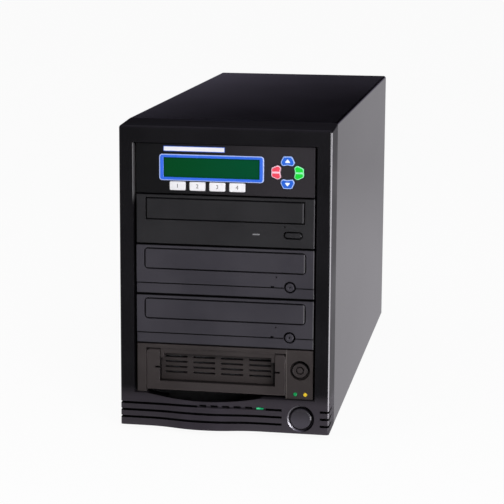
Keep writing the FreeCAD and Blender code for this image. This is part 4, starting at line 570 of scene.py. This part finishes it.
def gridFaces(rows, cols):  # quads between neighbouring rings, the last column joined to the first
    ring, place = np.meshgrid(np.arange(rows - 1), np.arange(cols), indexing="ij")
    following = (place + 1) % cols
    corners = (ring * cols + place, ring * cols + following,
               (ring + 1) * cols + following, (ring + 1) * cols + place)
    return np.stack(corners, -1).reshape(-1, 4)


def tidyMesh(mesh, sharp, flatten=False):  # welds seams and poles, turns faces outwards
    work = bmesh.new()
    work.from_mesh(mesh)
    bmesh.ops.remove_doubles(work, verts=work.verts, dist=2e-6)
    bmesh.ops.dissolve_degenerate(work, edges=work.edges, dist=1e-7)
    if flatten:
        bmesh.ops.dissolve_limit(work, angle_limit=math.radians(0.6), verts=work.verts, edges=work.edges)
    bmesh.ops.recalc_face_normals(work, faces=work.faces)
    work.to_mesh(mesh)
    work.free()
    mesh.shade_smooth()
    mesh.set_sharp_from_angle(angle=math.radians(sharp))


def addObject(name, data):
    added = bpy.data.objects.new(name, data)
    bpy.context.scene.collection.objects.link(added)
    return added


def showPiece(mesh, body, material, replaces, slot):
    piece = addObject(mesh.name, mesh)
    mesh.materials.append(material)
    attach(piece, body)
    if replaces:
        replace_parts(piece, *replaces)
    return piece


def addPiece(name, body, patches, kind, replaces=(), slot=None, sharp=40, band=None, material=None):
    # patches: (rings, marks) grids of points in mm, every ring closed
    points, faces, marks, start = [], [], [], 0
    for rings, mark in patches:
        rows, cols = rings.shape[:2]
        faces.append(gridFaces(rows, cols) + start)
        points.append(rings.reshape(-1, 3))
        marks.append(np.broadcast_to(mark, (rows, cols)).ravel())
        start += rows * cols
    points = np.concatenate(points)
    mesh = bpy.data.meshes.new(name)
    mesh.from_pydata((points * mm).tolist(), [], np.concatenate(faces).tolist())
    marks = np.concatenate(marks).astype(np.float32)
    mesh.attributes.new("mark", "FLOAT", "POINT").data.foreach_set("value", marks)
    tidyMesh(mesh, sharp)
    if material is None:
        material = makeFinish(name + "_finish", kind, (points.min(0), points.max(0)), band)
    showPiece(mesh, body, material, replaces, slot or kind)


def addPlate(name, body, loop, front, back, edge, steps=3, crown=0.0, kind="lamp_lens", line=(), **more):
    # a thin plate whose edge is eased by (inset, depth); line: insets that bound a line along the edge
    levels = [(0.0, back), (0.0, front + edge[1]), (edge[0], front)] + [(inwards, front) for inwards in line]
    addPiece(name, body, [capRings(loop, levels, crown, steps)], kind, **more)


shellEdge = {"segments": 2, "angle": 35.0}


def softened(node, width, kind, spots=(), grooves=None):
    # the CAD node's triangles welded and flattened into faces, its hard edges rounded
    source = cadNodes[node].data
    points = np.empty(len(source.vertices) * 3, np.float32)
    source.vertices.foreach_get("co", points)
    corners = np.empty(len(source.loops), np.int32)
    source.loops.foreach_get("vertex_index", corners)
    mesh = bpy.data.meshes.new(node + "_shell")
    mesh.from_pydata(points.reshape(-1, 3).tolist(), [], corners.reshape(-1, 3).tolist())
    tidyMesh(mesh, shellEdge["angle"], flatten=True)
    material = makeFinish(node + "_finish", kind, boxOf(node), spots=spots, grooves=grooves)
    piece = showPiece(mesh, cadNodes[node]["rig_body"], material, (node,), slotOf[node])
    bevel = piece.modifiers.new("edges", "BEVEL")
    bevel.width = width * mm
    bevel.segments = shellEdge["segments"]
    bevel.limit_method = "ANGLE"
    bevel.angle_limit = math.radians(shellEdge["angle"])
    bevel.use_clamp_overlap = True
    bevel.harden_normals = True


# case and front

softenedNodes = {
    "wrap_cover": (0.25, "black_steel"),
    "front_bezel": (0.50, "bezel_plastic"),
    "panel_face": (0.30, "panel_plastic"),
    "rack_frame": (0.40, "rack_plastic"),
    "rack_carrier": (0.30, "carrier_plastic"),
    "rack_handle": (0.60, "handle_plastic"),
    "mains_inlet": (0.40, "fan_plastic"),
    "mains_rocker": (0.40, "fan_plastic"),
    "case_fan_frame": (0.50, "fan_plastic"),
}
for drive, kind in {"reader": "reader", "writer_1": "drive", "writer_2": "drive"}.items():
    softenedNodes[drive + "_face"] = (0.60, kind + "_front")
    softenedNodes[drive + "_tray_door"] = (0.70, kind + "_door")
    softenedNodes[drive + "_tray"] = (0.35, "tray_plastic")
# the chin's grooves and window slots, and a step line on each writer front, are laid on as painted shade
chinGrooves = {"low": 12.0, "pitch": 6.1, "count": 3, "half": 0.98, "middle": 64.6, "clear": 15.85, "back": -205.0,
               "windows": {"first": -17.6, "pitch": 9.6, "count": 6, "rise": 24.7, "half": (2.9, 1.2)}}
writerStep = {"pitch": 40.0, "count": 1, "half": 0.55, "clear": 5.0, "back": -216.0}
stepRise = 9.0
for node, (width, kind) in softenedNodes.items():
    # where the painted shade of grooves and steps goes
    lines = chinGrooves if node == "front_bezel" else None
    if node in ("writer_1_face", "writer_2_face"):
        button = middleOf(node.replace("face", "eject_button"))
        lines = {**writerStep, "low": boxOf(node)[0][2] + stepRise, "middle": button[0]}
    softened(node, width, kind, grooves=lines)
print("softened", len(softenedNodes), "CAD nodes")

# power button: a shallow dome inside a rounded rim, its shank behind
powerButton = {"play": 0.05, "hollow": 0.5, "dome": (2.6, 0.25), "rim": 1.2, "slope": 1.3, "cap": 11.8,
               "shank": 5.0, "edge": 0.75, "well": (0.0020, 0.0018, 0.0024)}
powerMiddle = middleOf("power_button")
front, back = depthsOf("power_button")
radius = halfWidth("power_button") - powerButton["play"]
shank, capBack = powerButton["shank"], front + powerButton["cap"]
profile = roundedLine(
    [(0.0, front + powerButton["hollow"]), (radius - powerButton["dome"][0], front + powerButton["dome"][1]),
     (radius - powerButton["rim"], front), (radius, front + powerButton["slope"]), (radius, capBack),
     (shank, capBack), (shank, back), (0.0, back)], [2.0, 0.9, 0.9, 0.3, 0.3, 0.3], 7)
# the cap's outer rim takes painted shade, for the dark gap round it
addPiece("power_cap", "power_button", [(lathe(profile, powerMiddle, 96), profile[:, :1])], "cap_plastic",
         ("power_button",), "black_plastic", band=(powerButton["well"], radius - powerButton["edge"], 99.0))

# pale lining of the dish round it
dishRing = {"front": -223.0, "outer": 11.25, "inner": 9.95, "slant": 0.1, "rise": 0.03, "fall": 0.72, "foot": 1.45,
            "under": 0.15}
front, outer, inner = dishRing["front"], dishRing["outer"], dishRing["inner"]
rim = (outer, front + dishRing["rise"])
profile = roundedLine(
    [rim, (inner + dishRing["slant"], front + dishRing["fall"]), (inner, front + dishRing["foot"]),
     (outer - dishRing["slant"], front + dishRing["under"]), rim], [0.08, 0.02, 0.02], 4)
addPiece("power_ring", "case", [(lathe(profile, powerMiddle, 96), 0.0)], "dark_chrome", (), "black_plastic")

# eject buttons: turned caps with a dimple on the writers, a pillowed lozenge on the reader
ejectButton = {"around": 2.25, "flange": 1.4, "flangeDepth": 1.0, "rim": (1.2, 0.3), "edge": 0.35, "hollow": 0.5,
               "dimple": (0.6, 1.1), "wellDepth": 1.0, "well": (0.0012, 0.0012, 0.0014), "lozengeAround": 1.85,
               "lozengeEdge": ((0.0, 0.9), (0.12, 0.5), (0.4, 0.2), (0.9, 0.08)), "crown": 0.08}
dimple, dimpleDepth = ejectButton["dimple"]
for node in ("writer_1_eject_button", "writer_2_eject_button"):
    front, back = depthsOf(node)
    radius = halfWidth(node) - ejectButton["around"]
    flange, seat = radius + ejectButton["flange"], back - ejectButton["flangeDepth"]
    profile = roundedLine(
        [(0.0, front + dimpleDepth), (dimple, front + dimpleDepth), (dimple + 0.1, front + ejectButton["hollow"]),
         (radius - ejectButton["rim"][0], front), (radius, front + ejectButton["rim"][1]), (radius, seat),
         (flange, seat), (flange, back), (0.0, back)], [0.1, 0.1, 1.0, ejectButton["edge"], 0.1, 0.2, 0.2], 6)
    # painted shade in the dimple and down into the hole round the cap
    marks = (profile[:, 1:] > front + ejectButton["wellDepth"]) * 1.0
    addPiece(node + "_cap", node, [(lathe(profile, middleOf(node), 64), marks)], "drive_plastic", (node,),
             band=(ejectButton["well"], 0.3, 1.5))

low, high = boxOf("reader_eject_button")
around = ejectButton["lozengeAround"]
corner = (high[2] - low[2]) / 2 - around - 0.05
loop = roundedLoop(outlineOf("reader_eject_button", around), corner, 10)
levels = capLevels(ejectButton["flange"], low[1], high[1], ejectButton["lozengeEdge"])
# painted shade on the flange behind
addPiece("reader_eject_button_cap", "reader_eject_button", [capRings(loop, levels, ejectButton["crown"])],
         "reader_plastic", ("reader_eject_button",), "drive_plastic", band=(ejectButton["well"], -9.0, -0.3))

# four soft keys with a plain number each
softKey = {"flange": 0.5, "corner": 1.1, "crown": 0.12, "edge": ((0.0, 0.7), (0.1, 0.38), (0.3, 0.14), (0.6, 0.0)),
           "digit": 4.6, "ink": 0.02, "proud": 0.01}


def addDigit(text, body, middle, front, size, kind):  # a printed figure, as a thin plate on the cap
    curve = bpy.data.curves.new("figure", "FONT")
    curve.body = text
    curve.size = size * mm
    curve.align_x = curve.align_y = "CENTER"
    curve.extrude = softKey["ink"] * mm
    holder = addObject("figure_holder", curve)
    bpy.context.view_layer.update()
    mesh = bpy.data.meshes.new_from_object(holder.evaluated_get(bpy.context.evaluated_depsgraph_get()))
    bpy.data.objects.remove(holder)
    mesh.name = body + "_figure"
    place = np.array([middle[0], front, middle[1]])
    mesh.transform(Matrix.Translation(place * mm) @ Matrix.Rotation(math.radians(90), 4, "X"))
    mesh.materials.clear()
    showPiece(mesh, body, makeFinish(mesh.name + "_finish", kind, (place - size, place + size)), (), "lamp_lens")


for number in range(1, 5):
    node = f"key_{number}"
    front, back = depthsOf(node)
    loop = roundedLoop(outlineOf(node, softKey["flange"]), softKey["corner"], 7)
    levels = capLevels(softKey["flange"], front + softKey["crown"], back, softKey["edge"])
    addPiece(node + "_cap", node, [capRings(loop, levels, softKey["crown"])], "white_key", (node,))
    addDigit(str(number), node, middleOf(node), front + softKey["proud"], softKey["digit"], "loader_plastic")
print("buttons done")

# four arrow keys: a waisted outline with a pale edge line, an arrowhead or a plain bar on each
arrowKey = {"outer": 13.3, "inner": 5.2, "knee": 8.0, "narrow": 3.5, "wide": 6.05, "foot": 4.2, "dip": 0.9,
            "radii": [1.7, 2.4, 2.0, 2.0, 2.4, 1.7, 5.0], "flange": 0.4, "line": 0.75, "crown": 0.15, "sunk": 0.05,
            "head": [(-2.5, 8.1), (2.5, 8.1), (0.0, 11.2)], "headTint": (0.80, 0.86, 0.92),
            "bar": (-0.75, 6.6, 0.75, 12.6), "glyph": (0.04, 0.14), "glyphEdge": (0.06, 0.02)}
arrowWays = {"nav_up": (0, "blue_key"), "nav_left": (90, "red_key"), "nav_down": (180, "blue_key"),
             "nav_right": (270, "green_key")}
paleLine = {"blue_key": (0.36, 0.50, 0.90), "red_key": (0.86, 0.52, 0.62), "green_key": (0.26, 0.84, 0.42)}
arrowMiddle = np.array([middleOf("nav_up")[0], middleOf("nav_left")[1]])


def turnedLoop(loop, degrees, middle):
    turn = math.radians(degrees)
    rotation = np.array([(math.cos(turn), math.sin(turn)), (-math.sin(turn), math.cos(turn))])
    return np.asarray(loop, float) @ rotation + middle


right = [(arrowKey["foot"], arrowKey["inner"]), (arrowKey["wide"], arrowKey["knee"]),
         (arrowKey["narrow"], arrowKey["outer"])]
left = [(-across, up) for across, up in right[::-1]]
arrowCorners = right + left + [(0.0, arrowKey["inner"] + arrowKey["dip"])]
arrowhead = roundedLoop(arrowKey["head"], 0.5, 5)
plainBar = roundedLoop(rectangle(*arrowKey["bar"]), 0.4, 4)
line = arrowKey["line"]
arrowEdge = ((0.0, 0.6), (0.1, 0.3), (0.3, 0.1), (line, 0.0), (line + 0.02, 0.0))
for node, (degrees, kind) in arrowWays.items():
    front, back = depthsOf(node)
    loop = turnedLoop(roundedLoop(arrowCorners, arrowKey["radii"], 8), degrees, arrowMiddle)
    levels = capLevels(arrowKey["flange"], front + arrowKey["crown"] + arrowKey["sunk"], back, arrowEdge)
    addPiece(node + "_cap", node, [capRings(loop, levels, arrowKey["crown"])], kind, (node,),
             band=(paleLine[kind], -1.0, line + 0.01))
    glyph, tint = (arrowhead, arrowKey["headTint"]) if kind == "blue_key" else (plainBar, paleLine[kind])
    glyphFront, glyphBack = front + arrowKey["glyph"][0], front + arrowKey["glyph"][1]
    addPlate(node + "_glyph", node, turnedLoop(glyph, degrees, arrowMiddle), glyphFront, glyphBack,
             arrowKey["glyphEdge"], 2, kind="white_key", band=(tint, -1.0, 99.0))

# display: a blue frame lofted from its outer to its inner outline, pale along its outer edge
surround = {"corner": 2.6, "innerCorner": 0.5, "overlap": 0.2, "pale": (0.36, 0.46, 0.80), "levels": [
    # share of the way in, depth behind the front of the frame, mark
    (0.00, 0.80, 0.0), (0.00, 0.45, 0.0), (0.05, 0.16, 0.0), (0.16, 0.02, 0.0), (0.24, 0.0, 0.0),
    (0.26, 0.0, 1.0), (0.72, 0.0, 1.0), (0.74, 0.0, 2.0), (0.88, 0.04, 2.0), (0.96, 0.22, 2.0), (1.00, 0.5, 2.0),
    (1.00, 0.80, 2.0)]}
front, _ = depthsOf("lcd_surround")
rings, marks = [], []
for share, depth, mark in surround["levels"]:
    edge = outlineOf("lcd_surround") * (1 - share) + outlineOf("lcd_glass", surround["overlap"]) * share
    corner = surround["corner"] * (1 - share) + surround["innerCorner"] * share
    rings.append(standing(roundedLoop(edge, corner, 8), front + depth))
    marks.append(mark)
rings.append(rings[0])
marks.append(0.0)
addPiece("display_surround", "case", [(np.array(rings), np.array(marks)[:, None])], "blue_trim", ("lcd_surround",),
         band=(surround["pale"], -0.5, 0.5))
cadNodes["lcd_glass"].data.materials.clear()
cadNodes["lcd_glass"].data.materials.append(makeDisplay("display_film", boxOf("lcd_glass")))

# a plain strip above the display, white inside a thin blue line
nameStrip = {"span": (-51.0, 237.3, 0.0, 241.7), "corner": 0.5, "skin": 0.25, "sunk": 0.1, "edge": (0.08, 0.08),
             "line": (0.5, 0.52), "tint": (0.030, 0.115, 0.56)}
seat, _ = depthsOf("panel_face")
loop = roundedLoop(rectangle(*nameStrip["span"]), nameStrip["corner"], 5)
addPlate("name_strip", "case", loop, seat - nameStrip["skin"], seat + nameStrip["sunk"], nameStrip["edge"],
         kind="white_key", line=nameStrip["line"], band=(nameStrip["tint"], -1.0, sum(nameStrip["line"]) / 2))
print("panel done")

# rack lock: turned barrel with a ring slot and a core, its shank behind
rackLock = {"play": 0.03, "core": (0.5, 0.3), "slot": (2.3, 3.5, 3.0), "land": (0.7, 0.9), "groove": 0.35,
            "edge": (1.0, 0.6), "chamfer": 0.7, "barrel": 10.0, "shank": 4.5, "wellFrom": 0.7,
            "well": (0.0015, 0.0012, 0.0012)}
front, back = depthsOf("rack_lock")
radius = halfWidth("rack_lock") - rackLock["play"]
inner, outer, deep = rackLock["slot"]
shank, barrelBack, groove = rackLock["shank"], front + rackLock["barrel"], front + rackLock["groove"]
profile = roundedLine(
    [(0.0, front + rackLock["core"][0]), (inner, front + rackLock["core"][1]), (inner, front + deep),
     (outer, front + deep), (outer, front), (outer + rackLock["land"][0], front),
     (outer + rackLock["land"][1], groove), (radius - rackLock["edge"][0], groove),
     (radius - rackLock["edge"][1], front), (radius, front + rackLock["chamfer"]), (radius, barrelBack),
     (shank, barrelBack), (shank, back), (0.0, back)],
    [0.2, 0.1, 0.1, 0.15, 0.1, 0.1, 0.1, 0.15, 0.2, 0.3, 0.3, 0.3], 4)
# painted shade on the barrel's outer rim, for the dark gap round it
addPiece("rack_lock_barrel", "rack_lock", [(lathe(profile, middleOf("rack_lock"), 72), profile[:, :1])],
         "lock_plastic", ("rack_lock",), "bright_steel",
         band=(rackLock["well"], radius - rackLock["wellFrom"], radius + 1.0))

# two domed rack lamps, the reader's lamp and the chin's lit window; the other windows stay dark
rackLamp = {"rise": 38.0, "radius": 1.62, "front": -221.98, "back": -219.0,  # and at each place a tint and a glow
            "places": {59.6: ((0.008, 0.26, 0.075), 0.35), 67.9: ((0.72, 0.50, 0.030), 0.5)}}
radius, front, back = rackLamp["radius"], rackLamp["front"], rackLamp["back"]
profile = roundedLine([(0.0, front), (radius, front), (radius, back), (0.0, back)], [0.7, 0.1], 8)
for across, (tint, glow) in rackLamp["places"].items():
    rings = lathe(profile, (across, rackLamp["rise"]), 40)
    box = (rings.reshape(-1, 3).min(0), rings.reshape(-1, 3).max(0))
    name = f"rack_lens_{across:.0f}"
    addPiece(name, "case", [(rings, 0.0)], "lamp_lens", material=makeLens(name, tint, glow, box))

readerLens = {"place": (26.1, -220.0, 170.9), "reach": 4.0, "tint": (0.20, 0.20, 0.21), "half": (3.0, 0.55),
              "corner": 0.4, "proud": 0.15, "sunk": 0.2, "edge": (0.1, 0.08), "crown": 0.02}
lampSpot = (readerLens["tint"], readerLens["place"], readerLens["reach"])
softened("indicator_lamps", 0.12, "lamp_lens", spots=[lampSpot])
loop = barLoop(readerLens["place"][::2], readerLens["half"], readerLens["corner"], 5)
seat, _ = depthsOf("reader_face")
addPlate("reader_lens", "case", loop, seat - readerLens["proud"], seat + readerLens["sunk"], readerLens["edge"],
         crown=readerLens["crown"], band=(readerLens["tint"], -1.0, 99.0))

chinWindow = {"middle": (30.4, 24.7), "half": (3.0, 0.85), "corner": 0.3, "front": -222.9, "back": -221.0,
              "edge": (0.15, 0.2), "tint": (0.010, 0.27, 0.105), "glow": 0.4,
              "lit": ((25.9, -224.0, 23.7), (31.9, -222.0, 25.7))}
loop = barLoop(chinWindow["middle"], chinWindow["half"], chinWindow["corner"], 4)
lens = makeLens("status_lens", chinWindow["tint"], chinWindow["glow"], np.array(chinWindow["lit"]))
addPlate("status_lens", "case", loop, chinWindow["front"], chinWindow["back"], chinWindow["edge"], material=lens)
print("lamps done")

# screws at the back: a hexagon head with a washer face and a cross recess, the recess falling as the
# product of two soft steps across the slots
caseScrew = {"washer": 3.35, "collar": (0.45, 0.6), "across": 2.75, "bevel": (0.3, 0.93), "head": 1.95,
             "recess": 1.0, "slot": 0.5, "slotReach": 1.9, "soft": (0.25, 0.18), "steps": 16,
             # offset from the middle, heights and seat, for the cover, the power supply and the case fan
             "rows": [(82.0, (36.0, 131.0, 226.0), 227.0), (69.0, (12.0, 86.0), 226.0),
                      (35.75, (116.25, 187.75), 226.0)]}


def screwRings(middle, seat, turns=72):
    angle = np.linspace(0.0, 2 * np.pi, turns, endpoint=False)
    top, steps = seat + caseScrew["head"], caseScrew["steps"]
    washer = np.full(turns, caseScrew["washer"])
    hexagon = caseScrew["across"] / np.cos((angle % (np.pi / 3)) - np.pi / 6)
    sides = [(np.zeros(turns), seat), (washer, seat), (washer, seat + caseScrew["collar"][0]),
             (hexagon, seat + caseScrew["collar"][1]), (hexagon, top - caseScrew["bevel"][0]),
             (hexagon * caseScrew["bevel"][1], top)]
    radius = np.array([line for line, _ in sides] + [hexagon * share for share in np.linspace(0.88, 0.0, steps)])
    across, up = radius * np.cos(angle), radius * np.sin(angle)
    depth = np.concatenate([[level for _, level in sides], np.full(steps, top)])[:, None] + 0.0 * radius
    reach = np.clip((caseScrew["slotReach"] - radius) / caseScrew["soft"][0], 0.0, 1.0)
    slot = np.clip((caseScrew["slot"] - np.minimum(abs(across), abs(up))) / caseScrew["soft"][1] + 0.5, 0.0, 1.0)
    depth[len(sides):] -= (caseScrew["recess"] * reach * slot)[len(sides):]
    return np.stack([middle[0] + across, depth, middle[1] + up], -1)


patches = [(screwRings((side * offset, rise), seat), 0.0)
           for offset, rises, seat in caseScrew["rows"] for side in (-1, 1) for rise in rises]
addPiece("screw_heads", "case", patches, "black_zinc", ("case_screws",), "bright_steel", sharp=30)

# fan rotors: an aerofoil loop carried from hub to tip, turning flatter and sweeping forward as it goes,
# wrapped on the cylinder of each radius
fanRotor = {"blades": 7, "reach": 36.8, "hub": 17.0, "root": 16.2, "tip": 36.5, "chord": (7.6, 9.5), "thick": 0.55,
            "lean": 0.35, "camber": 1.2, "pitch": (46.0, 28.0), "sweep": 14.0}


def bladeRings(turn, middle, depth):
    share = np.linspace(0.0, 1.0, 14)[:, None]
    roundLoop = np.linspace(0.0, 2 * np.pi, 28, endpoint=False)[None]
    radius = fanRotor["root"] + share * (fanRotor["tip"] - fanRotor["root"])
    pitch = np.radians(fanRotor["pitch"][0] + share * (fanRotor["pitch"][1] - fanRotor["pitch"][0]))
    along = (fanRotor["chord"][0] + share * (fanRotor["chord"][1] - fanRotor["chord"][0])) * np.cos(roundLoop)
    through = fanRotor["thick"] * np.sin(roundLoop) * (1.0 - fanRotor["lean"] * np.cos(roundLoop))
    through = through + fanRotor["camber"] * (1 - np.cos(roundLoop) ** 2)
    around = along * np.cos(pitch) - through * np.sin(pitch)
    axial = along * np.sin(pitch) + through * np.cos(pitch)
    angle = turn + np.radians(fanRotor["sweep"]) * share + around / radius
    rings = np.stack([middle[0] + radius * np.cos(angle), depth + axial, middle[1] + radius * np.sin(angle)], -1)
    first, last = rings[:1].mean(1, keepdims=True), rings[-1:].mean(1, keepdims=True)
    return np.concatenate([np.broadcast_to(first, rings[:1].shape), rings, np.broadcast_to(last, rings[:1].shape)])


for node in ("psu_fan", "case_fan_rotor"):
    front, back = depthsOf(node)
    middle = (middleOf(node)[0], boxOf(node)[1][2] - fanRotor["reach"])
    hub = roundedLine([(0.0, front), (fanRotor["hub"], front), (fanRotor["hub"], back), (0.0, back)], [1.5, 1.5], 6)
    patches = [(lathe(hub, middle, 64), 0.0)]
    turns = np.arange(fanRotor["blades"]) * 2 * np.pi / fanRotor["blades"]
    patches += [(bladeRings(turn, middle, (front + back) / 2), 0.0) for turn in turns]
    addPiece(node + "_blades", cadNodes[node]["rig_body"], patches, "fan_plastic", (node,))

# rubber feet: turned, with a rounded sole and a shallow hollow
rubberFoot = {"margin": 9.0, "radius": 8.95, "sole": 7.6, "hollow": 0.8, "hollowRadius": 3.0, "slant": 0.8}
low, high = boxOf("rubber_feet")
hollow, hollowTop = rubberFoot["hollowRadius"], low[2] + rubberFoot["hollow"]
profile = roundedLine(
    [(0.0, hollowTop), (hollow, hollowTop), (hollow + rubberFoot["slant"], low[2]), (rubberFoot["sole"], low[2]),
     (rubberFoot["radius"], high[2]), (0.0, high[2])], [0.3, 0.3, 1.0, 0.3], 6)
nearFeet, farFeet = low + rubberFoot["margin"], high - rubberFoot["margin"]
patches = [(lathe(profile, (across, along), 56)[..., [0, 2, 1]], 0.0)
           for across in (nearFeet[0], farFeet[0]) for along in (nearFeet[1], farFeet[1])]
addPiece("rubber_feet_turned", "case", patches, "rubber", ("rubber_feet",))
print("back and feet done")

# the other CAD nodes keep their own meshes
standIns = {name for piece in bpy.context.scene.objects for name in piece.get("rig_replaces", [])}
for node, shown in cadNodes.items():
    if node in standIns or node == "lcd_glass":
        continue
    shown.data.materials.clear()
    shown.data.materials.append(makeFinish(node + "_finish", slotOf[node], boxOf(node)))
print("materials on", len(cadNodes) - len(standIns), "CAD nodes")


# studio: white floor, soft lamps, white for the camera and dim above the horizon for reflections

studio = {"floor": 40.0, "paper": (0.86, 0.86, 0.87), "glow": 0.94, "mirrorTint": (0.97, 0.94, 1.0),
          # what gloss mirrors of the floor: dim before the object, brighter behind it, with a fade
          "behind": (-0.32, -0.16, 0.06, 0.56), "fade": (0.4, 1.5, 1.0, 0.72), "beside": (0.09, 0.30, 0.85, 1.04),
          # and a bright patch on the right, by its bearing from the front corner
          "corner": (0.088, -0.223), "right": 10.0, "rightFrom": (0.85, 1.15), "rightTo": (1.5, 2.9),
          "rightOf": (0.10, 0.2),
          "sky": 0.36, "haze": (0.035, 0.110, 0.24, 0.0), "ceiling": (0.18, 0.60, 0.0, 0.16),
          "violet": (0.90, 0.82, 1.12)}

floorMesh = bpy.data.meshes.new("floor")
reach = studio["floor"] / 2
floorMesh.from_pydata([(-reach, -reach, 0), (reach, -reach, 0), (reach, reach, 0), (-reach, reach, 0)], [],
                      [(0, 1, 2, 3)])
floor = addObject("floor", floorMesh)
floor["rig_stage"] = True
paper, tree, shader, place = startMaterial("paper")
tree.nodes.remove(shader)
rays = addNode(tree, "ShaderNodeLightPath").outputs
lit = addNode(tree, "ShaderNodeBsdfDiffuse", {"Color": opaque(studio["paper"])}).outputs[0]
white = addNode(tree, "ShaderNodeEmission", {"Color": (1.0, 1.0, 1.0, 1.0), "Strength": 1.0}).outputs[0]
aside, away, _ = axes(tree, place)
behind = allOf(tree, ramp(tree, away, *studio["behind"]), ramp(tree, away, *studio["fade"]),
               ramp(tree, aside, *studio["beside"]))
bearing = maths(tree, "ARCTAN2", minus(tree, aside, studio["corner"][0]), minus(tree, studio["corner"][1], away))
patch = allOf(tree, ramp(tree, bearing, *studio["rightFrom"], 0.0, studio["right"]),
              ramp(tree, bearing, *studio["rightTo"], 1.0, 0.0), ramp(tree, aside, *studio["rightOf"]))
glare = {"Strength": maths(tree, "ADD", behind, patch), "Color": opaque(studio["mirrorTint"])}
mirrored = addNode(tree, "ShaderNodeEmission", glare).outputs[0]
seen = addNode(tree, "ShaderNodeMixShader", {0: studio["glow"], 1: lit, 2: white}).outputs[0]
other = addNode(tree, "ShaderNodeMixShader", {0: rays["Is Glossy Ray"], 1: lit, 2: mirrored}).outputs[0]
paperShader = addNode(tree, "ShaderNodeMixShader", {0: rays["Is Camera Ray"], 1: other, 2: seen}).outputs[0]
feed(tree, tree.nodes["Material Output"], {"Surface": paperShader})
floorMesh.materials.append(paper)

world = bpy.data.worlds.new("studio")
bpy.context.scene.world = world
world.use_nodes = True
tree = world.node_tree
rays = addNode(tree, "ShaderNodeLightPath").outputs
height = axes(tree, addNode(tree, "ShaderNodeTexCoord").outputs["Generated"])["Z"]
dim = maths(tree, "ADD", ramp(tree, height, *studio["haze"]), ramp(tree, height, *studio["ceiling"]))
violet = mixColour(tree, dim, (0.0, 0.0, 0.0), studio["violet"])
tone = mixColour(tree, rays["Is Glossy Ray"], (studio["sky"],) * 3, violet)
tone = mixColour(tree, rays["Is Camera Ray"], tone, (1.0, 1.0, 1.0))
feed(tree, tree.nodes["Background"], {"Color": tone})

lamps = {  # place, aim, width, height, watts, tint
    "key": ((0.75, -1.9, 1.15), (0.0, -0.2, 0.13), 0.9, 0.7, 20.5, (1.0, 0.99, 0.98)),
    "fill": ((-1.35, -1.25, 0.75), (-0.05, -0.2, 0.12), 0.5, 1.0, 5.0, (0.97, 0.97, 1.0)),
    "strip": ((0.87, -1.22, 0.25), (0.06, -0.22, 0.03), 0.45, 0.45, 4.0, (0.96, 0.95, 1.0)),
    "overhead": ((0.0, -0.6, 2.4), (0.0, -0.1, 0.0), 2.4, 2.0, 7.0, (1.0, 1.0, 1.0)),
}
for name, (place, aim, width, height, watts, tint) in lamps.items():
    lamp = bpy.data.lights.new(name, "AREA")
    lamp.shape = "RECTANGLE"
    lamp.size, lamp.size_y = width, height
    lamp.energy = watts
    lamp.color = tint
    holder = addObject(name, lamp)
    holder.visible_camera = False
    holder.visible_glossy = name == "strip"  # the others light the object without a mirror image in it
    turn = (Vector(place) - Vector(aim)).to_track_quat("Z", "Y").to_matrix().to_4x4()
    holder.matrix_world = Matrix.Translation(place) @ turn

# camera: place in mm; turned left of the depth axis, looking down and rolled, in radians; its lens is shifted
view = {"place": (255.77, -1586.55, 431.20), "yaw": 0.17615, "pitch": 0.17749, "roll": 0.00429, "lens": 123.56,
        "shift": (0.02381, -0.06349)}
turn = Matrix.Rotation(view["yaw"], 4, "Z") @ Matrix.Rotation(math.pi / 2 - view["pitch"], 4, "X")
turn = turn @ Matrix.Rotation(view["roll"], 4, "Z")
camera = bpy.data.cameras.new("camera")
camera.lens = view["lens"]
camera.sensor_width = 36.0
camera.shift_x, camera.shift_y = view["shift"]
camera.clip_end = 100.0
cameraHolder = addObject("camera", camera)
cameraHolder.matrix_world = Matrix.Translation(Vector(view["place"]) * mm) @ turn
bpy.context.scene.camera = cameraHolder
bpy.context.scene.view_settings.view_transform = "Standard"
print("studio done")

sizes = {"frame": cadBounds, "scene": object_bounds()}
{key: [[float(value) for value in corner] for corner in box] for key, box in sizes.items()}
